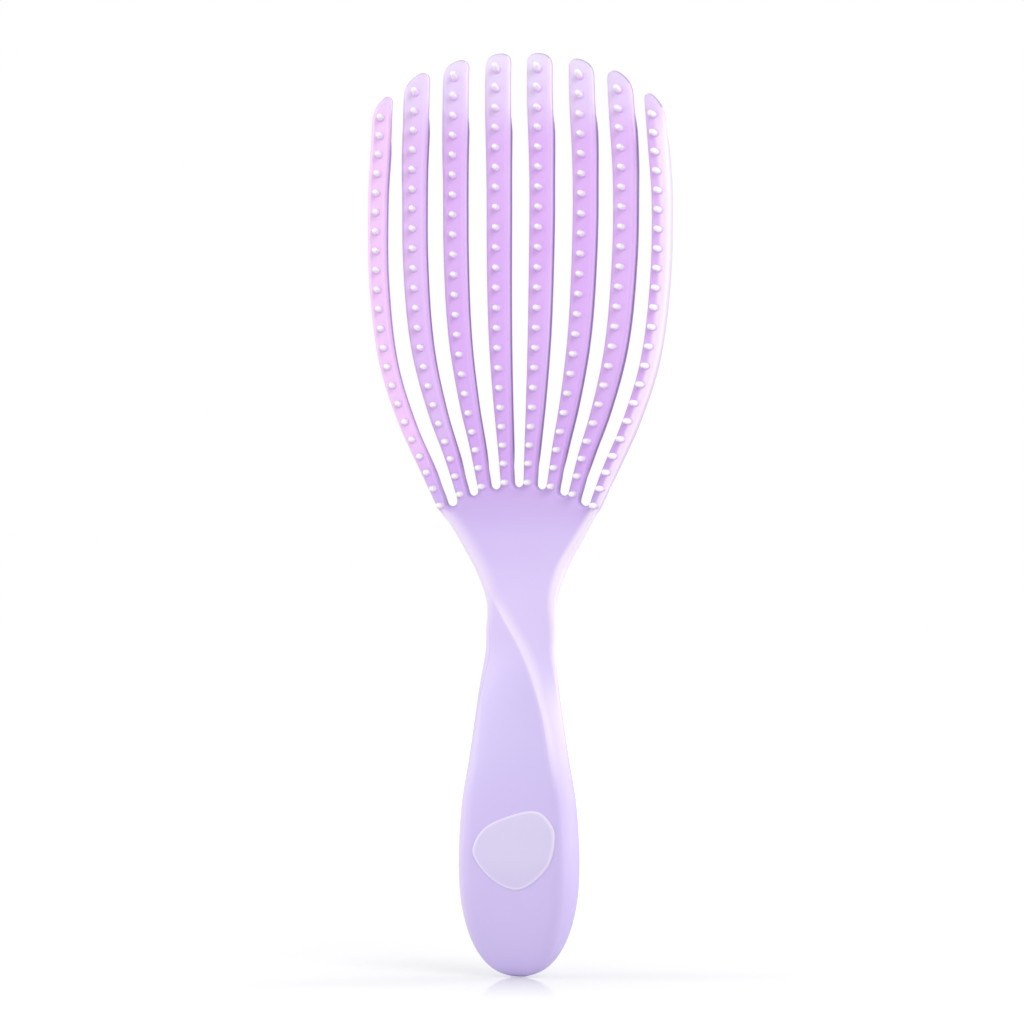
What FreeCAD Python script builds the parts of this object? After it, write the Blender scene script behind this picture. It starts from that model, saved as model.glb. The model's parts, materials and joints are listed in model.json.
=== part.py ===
import FreeCAD, Part
import math
import os
from FreeCAD import Placement, Rotation, Vector

# Detangling brush: eight flexible fingers with rows of pegs on a palm that twists into a hollow handle.
# +Z runs up the handle to the head, the pegs point to -Y, and the origin is at the foot of the handle.

# Driving sizes in millimetres, angles in degrees
SIZES = {
    "overall_length": 240.0,
    "crown_height": 126.8,
    "crown_radius": 35.0,
    "tip_crown_radius": 61.0,
    "finger_width": 6.3,
    "outer_finger_width": 5.0,
    "gap_middle": 4.95,
    "gap_inner": 5.1,
    "gap_between": 4.35,
    "gap_outer": 4.0,
    "finger_depth": 4.6,
    "beam_depth": 3.2,
    "strip_seat_gap": 0.02,
    "strip_end_drop": 17.3,
    "bow_radius": 1400.0,
    "tip_bend_radius": 48.0,
    "tip_bend_drop": 14.7,
    "cup_radius": 450.0,
    "root_length": 3.0,
    "knuckle_radius": 1.4,
    "knuckle_clearance": 0.08,
    "knuckle_end_gap": 0.15,
    "lip_radius": 2.3,
    "lip_clearance": 0.12,
    "neck_thickness": 1.5,
    "root_side_gap": 0.25,
    "swing_angle": 13.0,
    "pin_radius": 0.75,
    "pin_end_radius": 0.65,
    "pin_reach": 5.0,
    "pin_head_radius": 1.0,
    "pin_head_thickness": 0.9,
    "pin_clearance": 0.05,
    "pin_root_inset": 1.5,
    "pin_tip_inset": 3.5,
    "neck_height": 89.5,
    "neck_width": 17.6,
    "neck_depth": 12.0,
    "bulb_height": 31.0,
    "bulb_width": 30.0,
    "bulb_depth": 20.0,
    "shell_wall": 2.4,
    "post_radius": 1.8,
    "post_length": 3.5,
    "post_clearance": 0.05,
    "boss_radius": 3.4,
    "badge_width": 21.5,
    "badge_height": 20.0,
    "badge_thickness": 1.4,
    "badge_stand": 0.4,
    "badge_gap": 0.1,
    "badge_centre_height": 33.2,
    "badge_edge_radius": 0.3,
    "cut_overrun": 6.0,
}
PINS_PER_FINGER = 22
FINGERS_PER_SIDE = 4
FOOT_ROUNDNESS = 2.4
TIP_STEPS = 8

# Runs up a finger, from the crown to the tip, with the spread of the fan at each run
run_shares = (0.0, 0.1, 0.2, 0.35, 0.55, 0.75, 0.9)
spread_shares = (0.52, 0.635, 0.77, 0.915, 0.99, 1.0, 0.976)
tip_spread_share = 0.957
outer_width_shares = (0.62, 0.78, 0.85, 0.93, 0.99, 1.0, 0.976)

root_lean_share = 1.25

# Handle sections as shares: run, width, depth, ridge, facet, broad bulge, wall bulge
palm_shares = (
    (1.36, 1.44, 1.00, -1.00, -1.00, 0.000, 0.00),
    (1.00, 1.00, 1.00, -1.00, -1.00, 0.000, 0.05),
    (0.88, 0.73, 0.96, -1.00, -1.00, 0.004, 0.10),
    (0.62, 0.33, 0.80, -0.98, -0.99, 0.010, 0.16),
    (0.36, 0.06, 0.52, -0.80, -0.93, 0.020, 0.14),
    (0.09, 0.00, 0.12, -0.33, -0.62, 0.030, 0.10),
)
grip_shares = (
    (0.05, 0.00, 0.12, 0.02, -0.43, 0.040, 0.06),
    (0.20, 0.17, 0.37, 0.39, -0.20, 0.060, 0.04),
    (0.39, 0.40, 0.57, 0.62, 0.00, 0.080, 0.03),
    (0.56, 0.61, 0.75, 0.69, 0.11, 0.090, 0.025),
    (0.76, 0.87, 0.92, 0.75, 0.23, 0.100, 0.025),
    (1.00, 1.00, 1.00, 0.76, 0.30, 0.100, 0.025),
)
foot_run_shares = (0.30, 0.55, 0.75, 0.90, 0.97)
foot_land_share = 0.12
cavity_grip_count = 5
cavity_foot_run_shares = (0.30, 0.52)
post_height_shares = (0.09, 0.40, 0.64)

# Pebble outline of the badge, as shares of its width and height about its centre
badge_shares = (
    (0.28, 0.50), (0.44, 0.37), (0.50, 0.15), (0.41, -0.22), (0.10, -0.50),
    (-0.20, -0.42), (-0.43, -0.18), (-0.49, 0.02), (-0.34, 0.28), (0.0, 0.45),
)

doc = FreeCAD.newDocument("detangling_brush")
sheet = doc.addObject("Spreadsheet::Sheet", "sizes")
for row, (alias, value) in enumerate(SIZES.items(), start=1):
    sheet.set("A%d" % row, alias)
    sheet.set("B%d" % row, str(value))
    sheet.setAlias("B%d" % row, alias)
doc.recompute()

X_AXIS = Vector(1, 0, 0)
Y_AXIS = Vector(0, 1, 0)
Z_AXIS = Vector(0, 0, 1)


def size(alias):
    """Value of a named size on the sheet."""
    return float(sheet.get(alias))


def bind(obj, cells):
    """Tie an object's properties to expressions of the sheet's sizes."""
    for prop, expression in cells.items():
        obj.setExpression(prop, expression)


def feature(name, shape, placement=None):
    """A document object that holds a shape made from the sheet's sizes."""
    obj = doc.addObject("Part::Feature", name)
    obj.Label = name
    obj.Shape = shape
    if placement is not None:
        obj.Placement = placement
    return obj


def between(low, high, share):
    return low + (high - low) * share


def spline_edge(points):
    """Smooth edge through points."""
    curve = Part.BSplineCurve()
    curve.interpolate(points)
    return curve.toShape()


# Side profile of the head: straight at the roots, gently bowed, with tips that bend back
FRONT = -size("finger_depth") / 2
BASE_HEIGHT = size("crown_height")
BEND_HEIGHT = size("overall_length") - size("tip_bend_drop")
BEND_TILT = math.asin((BEND_HEIGHT - BASE_HEIGHT) / size("bow_radius"))
BOW_CENTRE = Vector(0, FRONT + size("bow_radius"), BASE_HEIGHT)
BEND_CENTRE = BOW_CENTRE + Vector(0, -math.cos(BEND_TILT), math.sin(BEND_TILT)) * (
    size("bow_radius") - size("tip_bend_radius")
)


def tilt_at(height):
    """Backward tilt of the head's front face at a height, in radians."""
    if height <= BASE_HEIGHT:
        return 0.0
    if height <= BEND_HEIGHT:
        return math.asin((height - BASE_HEIGHT) / size("bow_radius"))
    return math.asin((height - BEND_CENTRE.z) / size("tip_bend_radius"))


def profile_point(tilt, depth):
    """Point of the side profile at a tilt, at a depth behind the front face."""
    outward = Vector(0, -math.cos(tilt), math.sin(tilt))
    if tilt <= BEND_TILT:
        return BOW_CENTRE + outward * (size("bow_radius") - depth)
    return BEND_CENTRE + outward * (size("tip_bend_radius") - depth)


def profile_side(depth, low, high):
    """Edges of the side profile at one depth, from a low height up to a high one."""
    edges = []
    start = profile_point(0.0, depth)
    if low < BASE_HEIGHT:
        foot = Vector(0, start.y, low)
        end = Vector(0, start.y, min(high, BASE_HEIGHT))
        edges.append(Part.LineSegment(foot, end).toShape())
    if high <= BASE_HEIGHT:
        return edges
    tilts = [tilt_at(low), min(tilt_at(high), BEND_TILT), tilt_at(high)]
    for bottom, top in zip(tilts, tilts[1:]):
        if top > bottom:
            spots = [profile_point(between(bottom, top, share), depth) for share in (0.0, 0.5, 1.0)]
            edges.append(Part.Arc(*spots).toShape())
    return edges


def slab(depth_front, depth_back, low, high):
    """Layer of the head between two depths and two heights, right across the brush."""
    front = profile_side(depth_front, low, high)
    back = profile_side(depth_back, low, high)
    foot = Part.LineSegment(back[0].Vertexes[0].Point, front[0].Vertexes[0].Point).toShape()
    head = Part.LineSegment(front[-1].Vertexes[-1].Point, back[-1].Vertexes[-1].Point).toShape()
    wire = Part.Wire(Part.__sortEdges__(front + back + [foot, head]))
    half = HEAD_HALF_WIDTH + size("cut_overrun")
    face = Part.Face(wire)
    face.translate(Vector(-half, 0, 0))
    return face.extrude(Vector(2 * half, 0, 0))


# Fan of fingers: inner edge and width of each finger at the widest part, from the middle outwards
GAPS = [size("gap_middle") / 2, size("gap_inner"), size("gap_between"), size("gap_outer")]
WIDTHS = [size("finger_width")] * (FINGERS_PER_SIDE - 1) + [size("outer_finger_width")]
INNER_EDGES = []
reach = 0.0
for gap, width in zip(GAPS, WIDTHS):
    INNER_EDGES.append(reach + gap)
    reach = reach + gap + width
HEAD_HALF_WIDTH = reach


def circle_drop(radius, across):
    return radius - math.sqrt(radius ** 2 - across ** 2)


class Finger:
    """Lines of one right-hand finger in its own flat plane, before the head is cupped."""

    def __init__(self, rank):
        self.rank = rank
        self.outermost = rank == FINGERS_PER_SIDE - 1
        self.width_shares = outer_width_shares if self.outermost else spread_shares
        root_in, root_out = self.edges_at(0)
        root_x = (root_in + root_out) / 2
        self.root_width = root_out - root_in
        self.crown = Vector(root_x, 0, size("crown_height") - circle_drop(size("crown_radius"), root_x))
        self.tip_half = WIDTHS[rank] * tip_spread_share / 2
        tip_x = INNER_EDGES[rank] * tip_spread_share + self.tip_half
        middle_x = (INNER_EDGES[0] + WIDTHS[0] / 2) * tip_spread_share
        drop = circle_drop(size("tip_crown_radius"), tip_x)
        drop = drop - circle_drop(size("tip_crown_radius"), middle_x)
        self.tip = Vector(tip_x, 0, size("overall_length") - drop)
        self.tip_slope = tip_x / math.sqrt(size("tip_crown_radius") ** 2 - tip_x ** 2)
        first = self.centre_at(1)
        slope = math.atan2(first.x - self.crown.x, first.z - self.crown.z)
        self.lean = slope * root_lean_share
        self.along = Vector(math.sin(self.lean), 0, math.cos(self.lean))
        self.across = Vector(math.cos(self.lean), 0, -math.sin(self.lean))
        self.hinge = self.crown - self.along * size("root_length")
        self.cup = -math.degrees(math.asin(tip_x / size("cup_radius")))

    def edges_at(self, index):
        inner = INNER_EDGES[self.rank] * spread_shares[index]
        return inner, inner + WIDTHS[self.rank] * self.width_shares[index]

    def height_at(self, index):
        return self.crown.z + (self.tip.z - self.crown.z) * run_shares[index]

    def centre_at(self, index):
        inner, outer = self.edges_at(index)
        return Vector((inner + outer) / 2, 0, self.height_at(index))

    def root_points(self, sign):
        half = self.across * (sign * self.root_width / 2)
        below = self.hinge - self.along * size("root_length")
        return [below + half, self.hinge + half, self.crown + half]

    def side_points(self, sign):
        """Points up one edge of the finger, from below the hinge to the shoulder of its tip."""
        points = self.root_points(sign)
        for index in range(1, len(run_shares)):
            inner_x, outer_x = self.edges_at(index)
            points.append(Vector(outer_x if sign > 0 else inner_x, 0, self.height_at(index)))
        return points

    def tip_points(self):
        """Half circle over the end of the finger, slanted along the arc of the head's tips."""
        points = []
        for step in range(TIP_STEPS + 1):
            angle = math.pi * step / TIP_STEPS
            across = -math.cos(angle)
            fall = 1.0 - math.sin(angle) + across * self.tip_slope
            points.append(self.tip + Vector(across, 0, -fall) * self.tip_half)
        return points

    def outline(self):
        """Front outline of the finger as a face in the XZ plane."""
        points = self.side_points(-1) + self.tip_points() + self.side_points(1)[::-1]
        foot = Part.LineSegment(points[-1], points[0]).toShape()
        return Part.Face(Part.Wire([spline_edge(points), foot]))

    def prism(self):
        """Outline run right through the head from front to back."""
        reach = size("bulb_depth") + size("cut_overrun")
        face = self.outline()
        face.translate(Vector(0, -reach, 0))
        return face.extrude(Vector(0, 2 * reach, 0))

    def hinge_frame(self):
        """Placement with X along the hinge and Z up the finger's root."""
        return Placement(self.hinge, Rotation(Y_AXIS, math.degrees(self.lean)))

    def cupped(self, side):
        """Turn of the whole finger about a vertical line through its hinge, on one side of the brush."""
        turn = Rotation(Z_AXIS, self.cup * side)
        return Placement(Vector(0, 0, 0), turn, Vector(self.hinge.x * side, 0, 0))

    def number(self, side):
        """Place in the row of fingers, counted from the left."""
        return FINGERS_PER_SIDE + 1 + self.rank if side > 0 else FINGERS_PER_SIDE - self.rank

    def pin_frames(self):
        """Placements of the pegs, evenly spaced up the middle of the finger, square to its face."""
        line = [self.crown]
        for index in range(1, len(run_shares)):
            line.append(self.centre_at(index))
        line.append(self.tip)
        edge = spline_edge(line)
        run = edge.Length - size("pin_root_inset") - size("pin_tip_inset")
        frames = []
        for index in range(PINS_PER_FINGER):
            along = size("pin_root_inset") + run * index / (PINS_PER_FINGER - 1)
            spot = edge.valueAt(edge.getParameterByLength(along))
            tilt = tilt_at(spot.z)
            face = profile_point(tilt, 0.0)
            height = spot.z if tilt == 0.0 else face.z
            outward = Vector(0, -math.cos(tilt), math.sin(tilt))
            frames.append(Placement(Vector(spot.x, face.y, height), Rotation(Z_AXIS, outward)))
        return frames


FINGERS = [Finger(rank) for rank in range(FINGERS_PER_SIDE)]
OUTER = FINGERS[-1]
SIDES = (-1, 1)


def on_side(shape, side):
    """A right-hand shape as it is, or mirrored to the left."""
    return shape if side > 0 else shape.mirror(Vector(0, 0, 0), X_AXIS)


def hinge_box(finger, width, thickness, low, high, turn=0.0):
    """Block on a finger's hinge, turned about the hinge line."""
    block = Part.makeBox(width, thickness, high - low, Vector(-width / 2, -thickness / 2, low))
    block.rotate(Vector(0, 0, 0), X_AXIS, turn)
    block.Placement = finger.hinge_frame().multiply(block.Placement)
    return block


def hinge_round(finger, radius, width):
    """Cylinder on a finger's hinge line."""
    round_bar = Part.makeCylinder(radius, width, Vector(-width / 2, 0, 0), X_AXIS)
    round_bar.Placement = finger.hinge_frame().multiply(round_bar.Placement)
    return round_bar


# Peg: a round-ended shank with a flat head that stays behind the finger's front wall
def make_pin():
    body = doc.addObject("PartDesign::Body", "pin_pattern")
    head = body.newObject("PartDesign::AdditiveCylinder", "pin_head")
    bind(
        head,
        {
            "Radius": "sizes.pin_head_radius",
            "Height": "sizes.pin_head_thickness",
            ".Placement.Base.z": "-sizes.beam_depth",
        },
    )
    shank = body.newObject("PartDesign::AdditiveCylinder", "pin_shank")
    bind(
        shank,
        {
            "Radius": "sizes.pin_radius",
            "Height": "sizes.pin_reach + sizes.beam_depth",
            ".Placement.Base.z": "-sizes.beam_depth",
        },
    )
    doc.recompute()
    tips = [
        "Edge%d" % (index + 1)
        for index, edge in enumerate(shank.Shape.Edges)
        if edge.Closed and edge.CenterOfMass.z > size("pin_reach") - size("pin_end_radius")
    ]
    end = body.newObject("PartDesign::Fillet", "pin_end")
    end.Base = (shank, tips)
    bind(end, {"Radius": "sizes.pin_end_radius"})
    doc.recompute()
    return body


pin_body = make_pin()


def pin_hole():
    """Clearance for one peg through a finger: the shank's bore and the head's seat."""
    bore = size("pin_radius") + size("pin_clearance")
    seat = size("pin_head_radius") + size("pin_clearance")
    deep = -size("beam_depth") - size("cut_overrun")
    floor = size("pin_head_thickness") - size("beam_depth")
    shank = Part.makeCylinder(bore, size("cut_overrun") - deep, Vector(0, 0, deep))
    head = Part.makeCylinder(seat, floor - deep, Vector(0, 0, deep))
    return shank.fuse(head)


def make_finger(finger):
    """One finger: peg beam, squared root, neck and knuckle."""
    prism = finger.prism()
    low = finger.hinge.z - size("cut_overrun")
    high = size("overall_length") + size("cut_overrun")
    beam = prism.common(slab(0.0, size("beam_depth"), low, high))
    root = prism.common(slab(size("beam_depth"), size("finger_depth"), low, finger.crown.z))
    holes = []
    for frame in finger.pin_frames():
        hole = pin_hole()
        hole.Placement = frame
        holes.append(hole)
    shape = beam.fuse(root).cut(Part.makeCompound(holes))
    wide = finger.root_width + size("cut_overrun")
    below = hinge_box(finger, wide, 2 * size("finger_depth"), -size("overall_length"), 0.0)
    lips = hinge_round(finger, size("lip_radius") + size("lip_clearance"), wide)
    shape = shape.cut([below, lips])
    bar = finger.root_width - 2 * size("knuckle_end_gap")
    top = size("lip_radius") + 2 * size("lip_clearance")
    neck = hinge_box(finger, bar, size("neck_thickness"), 0.0, top)
    knuckle = hinge_round(finger, size("knuckle_radius"), bar)
    shape = shape.fuse([neck, knuckle]).removeSplitter()
    return shape


def make_strip(finger):
    """Back strip that covers the peg heads from the root to below the tip."""
    high = size("overall_length") - size("strip_end_drop")
    seat = size("beam_depth") + size("strip_seat_gap")
    layer = slab(seat, size("finger_depth"), finger.crown.z + size("strip_seat_gap"), high)
    return finger.prism().common(layer)


def make_pins(finger):
    """Row of pegs of one finger, each a solid of its own."""
    pegs = []
    for frame in finger.pin_frames():
        peg = pin_body.Shape.copy()
        peg.Placement = frame
        pegs.append(peg)
    return Part.makeCompound(pegs)


for finger in FINGERS:
    pieces = {"finger": make_finger(finger), "pins": make_pins(finger), "back_strip": make_strip(finger)}
    for side in SIDES:
        for name, shape in pieces.items():
            node = "%s_%d" % (name, finger.number(side))
            feature(node, on_side(shape, side), finger.cupped(side))


# Handle: four corner lines that twist about the handle's axis, joined by curved faces
ROOT_CORNER = OUTER.root_points(1)[1]


class Station:
    """One cross-section of the handle."""

    def __init__(self, height, half_width, half_depth, ridge, facet, broad, wall):
        self.height = height
        self.half_width = half_width
        self.half_depth = half_depth
        self.ridge = ridge
        self.facet = facet
        self.broad = broad
        self.wall = wall

    def corners(self, inset):
        wide = self.half_width - inset
        deep = self.half_depth - inset
        front_left = Vector(self.ridge * wide, -deep, self.height)
        front_right = Vector(wide, self.facet * deep, self.height)
        back_right = Vector(-front_left.x, -front_left.y, self.height)
        back_left = Vector(-front_right.x, -front_right.y, self.height)
        return [front_left, front_right, back_right, back_left]

    def section(self, inset=0.0):
        """Closed wire of four sides, each bulged outwards by a share of its length."""
        corners = self.corners(inset)
        bulges = (self.broad, self.wall, self.broad, self.wall)
        edges = []
        for index, bulge in enumerate(bulges):
            start = corners[index]
            end = corners[(index + 1) % len(corners)]
            if bulge == 0.0:
                edges.append(Part.LineSegment(start, end).toShape())
                continue
            along = end - start
            outward = Vector(along.y, -along.x, 0)
            middle = (start + end) * 0.5 + outward * bulge
            edges.append(Part.Arc(start, middle, end).toShape())
        return Part.Wire(edges)


def handle_stations():
    stations = []
    neck_half = size("neck_width") / 2
    neck_deep = size("neck_depth") / 2
    for run, wide, deep, ridge, facet, broad, wall in palm_shares:
        height = between(size("neck_height"), ROOT_CORNER.z, run)
        half_width = between(neck_half, ROOT_CORNER.x, wide)
        half_depth = between(neck_deep, size("finger_depth") / 2, deep)
        stations.append(Station(height, half_width, half_depth, ridge, facet, broad, wall))
    for run, wide, deep, ridge, facet, broad, wall in grip_shares:
        height = between(size("neck_height"), size("bulb_height"), run)
        half_width = between(neck_half, size("bulb_width") / 2, wide)
        half_depth = between(neck_deep, size("bulb_depth") / 2, deep)
        stations.append(Station(height, half_width, half_depth, ridge, facet, broad, wall))
    return stations


def foot_station(bulb, run):
    """Section on the rounded foot, a share of the way down from the bulb to the ground."""
    scale = (1.0 - run ** FOOT_ROUNDNESS) ** (1.0 / FOOT_ROUNDNESS)
    scale = max(scale, foot_land_share)
    height = bulb.height * (1.0 - run)
    return Station(
        height, bulb.half_width * scale, bulb.half_depth * scale, bulb.ridge, bulb.facet, bulb.broad, bulb.wall
    )


STATIONS = handle_stations()
BULB = STATIONS[-1]
FOOT = [foot_station(BULB, run) for run in foot_run_shares + (1.0,)]
CAVITY_FOOT = [foot_station(BULB, run) for run in cavity_foot_run_shares]


def loft(name, stations, inset):
    """Twisted solid through a list of sections."""
    sections = []
    for index, station in enumerate(stations):
        sections.append(feature("%s_section_%d" % (name, index), station.section(inset)))
    solid = doc.addObject("Part::Loft", name)
    solid.Sections = sections
    solid.Solid = True
    solid.Ruled = False
    return solid


handle_form = loft("handle_form", STATIONS + FOOT, 0.0)
cavity_form = loft("cavity_form", STATIONS[-cavity_grip_count:] + CAVITY_FOOT, size("shell_wall"))

# Crown: the palm's top edge follows the arc of the slot ends
crown_block = doc.addObject("Part::Box", "crown_block")
bind(
    crown_block,
    {
        "Length": "4 * sizes.crown_radius",
        "Width": "2 * sizes.bulb_depth",
        "Height": "2 * sizes.crown_radius",
        ".Placement.Base.x": "-2 * sizes.crown_radius",
        ".Placement.Base.y": "-sizes.bulb_depth",
        ".Placement.Base.z": "sizes.crown_height - sizes.crown_radius",
    },
)
crown_round = doc.addObject("Part::Cylinder", "crown_round")
crown_round.Placement.Rotation = Rotation(X_AXIS, 90)
bind(
    crown_round,
    {
        "Radius": "sizes.crown_radius",
        "Height": "2 * sizes.bulb_depth",
        ".Placement.Base.y": "sizes.bulb_depth",
        ".Placement.Base.z": "sizes.crown_height - sizes.crown_radius",
    },
)
crown_trim = doc.addObject("Part::Cut", "crown_trim")
crown_trim.Base = crown_block
crown_trim.Tool = crown_round


def socket(finger):
    """Room for a finger's root in the palm: lips, knuckle bore and the swing of the neck."""
    wide = finger.root_width + 2 * size("root_side_gap")
    deep = size("finger_depth") + 2 * size("cut_overrun")
    high = size("root_length") + size("cut_overrun")
    room = hinge_box(finger, wide, deep, 0.0, high)
    if finger.outermost:
        open_side = room.copy()
        open_side.translate(finger.across * (wide / 2))
        room = room.fuse(open_side)
    room = room.cut(hinge_round(finger, size("lip_radius"), 4 * wide))
    bore = hinge_round(finger, size("knuckle_radius") + size("knuckle_clearance"), wide)
    mouth = size("neck_thickness") + 2 * size("lip_clearance")
    swings = [hinge_box(finger, wide, mouth, 0.0, high, turn * size("swing_angle")) for turn in (-1, 0, 1)]
    return room.fuse([bore] + swings)


rooms = []
for finger in FINGERS:
    for side in SIDES:
        room = on_side(socket(finger), side)
        room.Placement = finger.cupped(side).multiply(room.Placement)
        rooms.append(room)
sockets = feature("finger_sockets", Part.makeCompound(rooms))

# Badge: a pebble-shaped plate let into the broad front face of the handle


def station_at(height):
    """Section of the handle at any height between the neck and the bulb, by straight blending."""
    pairs = list(zip(STATIONS, STATIONS[1:]))
    for upper, lower in pairs:
        if lower.height <= height <= upper.height:
            share = (upper.height - height) / (upper.height - lower.height)
            names = ("half_width", "half_depth", "ridge", "facet", "broad", "wall")
            values = [between(getattr(upper, name), getattr(lower, name), share) for name in names]
            return Station(height, *values)
    return BULB


def badge_frame():
    """Placement on the broad front face: X across the face, Y up the handle, Z outwards."""
    station = station_at(size("badge_centre_height"))
    ridge, _, _, left = station.corners(0.0)
    across = ridge - left
    outward = Vector(across.y, -across.x, 0).normalize()
    crest = (ridge + left) * 0.5 + outward * (station.wall * across.Length)
    turn = Rotation(across.normalize(), Z_AXIS, outward, "ZXY")
    return Placement(crest, turn)


def badge_sketch(body, name, margin):
    plane = [item for item in body.Origin.OriginFeatures if item.Role == "XY_Plane"][0]
    sketch = body.newObject("Sketcher::SketchObject", name)
    sketch.AttachmentSupport = [(plane, "")]
    sketch.MapMode = "FlatFace"
    wide = size("badge_width") + 2 * margin
    high = size("badge_height") + 2 * margin
    points = [Vector(across * wide, up * high, 0) for across, up in badge_shares]
    curve = Part.BSplineCurve()
    curve.interpolate(points, PeriodicFlag=True)
    sketch.addGeometry(curve)
    return sketch


def badge_plate(name, margin, length):
    body = doc.addObject("PartDesign::Body", name)
    pad = body.newObject("PartDesign::Pad", name + "_pad")
    pad.Profile = badge_sketch(body, name + "_outline", margin)
    bind(pad, {"Length": length})
    doc.recompute()
    return body, pad


badge, badge_pad = badge_plate("badge", 0.0, "sizes.badge_thickness")
badge_edges = [
    "Edge%d" % (index + 1)
    for index, edge in enumerate(badge_pad.Shape.Edges)
    if abs(edge.CenterOfMass.z - size("badge_thickness")) < size("badge_edge_radius")
]
badge_round = badge.newObject("PartDesign::Fillet", "badge_round")
badge_round.Base = (badge_pad, badge_edges)
bind(badge_round, {"Radius": "sizes.badge_edge_radius"})
FACE = badge_frame()
badge.Placement = FACE.multiply(Placement(Vector(0, 0, size("badge_stand") - size("badge_thickness")), Rotation()))
badge_room, badge_room_pad = badge_plate("badge_room", size("badge_gap"), "sizes.badge_thickness + sizes.cut_overrun")
badge_room.Placement = badge.Placement

# Two handle halves, split on the plane of the hinges, lined up by posts in bosses
hollow = doc.addObject("Part::Cut", "hollow_handle")
hollow.Base = handle_form
hollow.Tool = cavity_form
trimmed = doc.addObject("Part::Cut", "trimmed_handle")
trimmed.Base = hollow
trimmed.Tool = crown_trim

half_boxes = {}
for name, low in (("front_side", "-2 * sizes.bulb_depth"), ("rear_side", "0")):
    box = doc.addObject("Part::Box", name)
    bind(
        box,
        {
            "Length": "4 * sizes.bulb_width",
            "Width": "2 * sizes.bulb_depth",
            "Height": "2 * sizes.overall_length",
            ".Placement.Base.x": "-2 * sizes.bulb_width",
            ".Placement.Base.y": low,
            ".Placement.Base.z": "-sizes.cut_overrun",
        },
    )
    half_boxes[name] = box


def upright_rods(name, radius, height, start):
    """Group of round rods along Y on the handle's axis, one at each post's height."""
    rods = []
    for index, share in enumerate(post_height_shares):
        rod = doc.addObject("Part::Cylinder", "%s_%d" % (name, index))
        rod.Placement.Rotation = Rotation(X_AXIS, -90)
        bind(
            rod,
            {
                "Radius": radius,
                "Height": height,
                ".Placement.Base.y": start,
                ".Placement.Base.z": "%g * sizes.crown_height" % share,
            },
        )
        rods.append(rod)
    group = doc.addObject("Part::Compound", name + "_group")
    group.Links = rods
    return group


posts = upright_rods("post", "sizes.post_radius", "sizes.bulb_depth + sizes.post_length", "-sizes.bulb_depth")
bosses = upright_rods("boss", "sizes.boss_radius", "sizes.bulb_depth", "0")
wells = upright_rods(
    "well", "sizes.post_radius + sizes.post_clearance", "sizes.post_length + 2 * sizes.post_clearance", "0"
)


def boolean(kind, name, first, second):
    joined = doc.addObject(kind, name)
    joined.Base = first
    joined.Tool = second
    return joined


# Posts and bosses end inside the shell's wall
core_form = loft("core_form", STATIONS + FOOT, size("shell_wall") / 2)
inner_posts = boolean("Part::Common", "inner_posts", posts, core_form)
inner_bosses = boolean("Part::Common", "inner_bosses", bosses, core_form)

front_half = boolean("Part::Common", "front_half", trimmed, half_boxes["front_side"])
front_open = boolean("Part::Cut", "front_open", front_half, sockets)
front_posted = boolean("Part::Fuse", "front_posted", front_open, inner_posts)
handle_front = boolean("Part::Cut", "handle_front", front_posted, badge_room)

rear_half = boolean("Part::Common", "rear_half", trimmed, half_boxes["rear_side"])
rear_open = boolean("Part::Cut", "rear_open", rear_half, sockets)
rear_bossed = boolean("Part::Fuse", "rear_bossed", rear_open, inner_bosses)
handle_rear = boolean("Part::Cut", "handle_rear", rear_bossed, wells)

doc.recompute()

# Every object must be sound before anything is written
NODES = ["handle_front", "handle_rear", "badge"]
for piece in ("finger", "pins", "back_strip"):
    NODES += ["%s_%d" % (piece, number + 1) for number in range(2 * FINGERS_PER_SIDE)]
failed = [obj.Name for obj in doc.Objects if "Invalid" in obj.State or "Error" in obj.State]
for node in NODES:
    shape = doc.getObject(node).Shape
    if shape.isNull() or not shape.isValid():
        failed.append(node)
if failed:
    raise RuntimeError("objects that failed: " + ", ".join(failed))

os.makedirs("parts", exist_ok=True)
for node in NODES:
    obj = doc.getObject(node)
    obj.Label = node
    obj.Shape.exportStep("parts/%s.step" % node)
    print(node, len(obj.Shape.Solids), "solids", round(obj.Shape.Volume, 2), "mm3")
for finger in FINGERS:
    axis = finger.cupped(1).Rotation.multVec(finger.across)
    print("hinge", finger.number(1), [round(v, 4) for v in finger.hinge], [round(v, 5) for v in axis])
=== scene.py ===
# %% [markdown]
# # A detangling brush
# The brush is a fan of eight flexible fingers on a palm that twists down into a rounded handle.
# Each finger carries a row of blunt pegs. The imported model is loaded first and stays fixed: every
# piece made below sits on it, in metres, with its place in its mesh.

# %% Load the frame
import json
import math
from functools import lru_cache

import bpy
import numpy as np
from mathutils import Matrix, Vector


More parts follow.
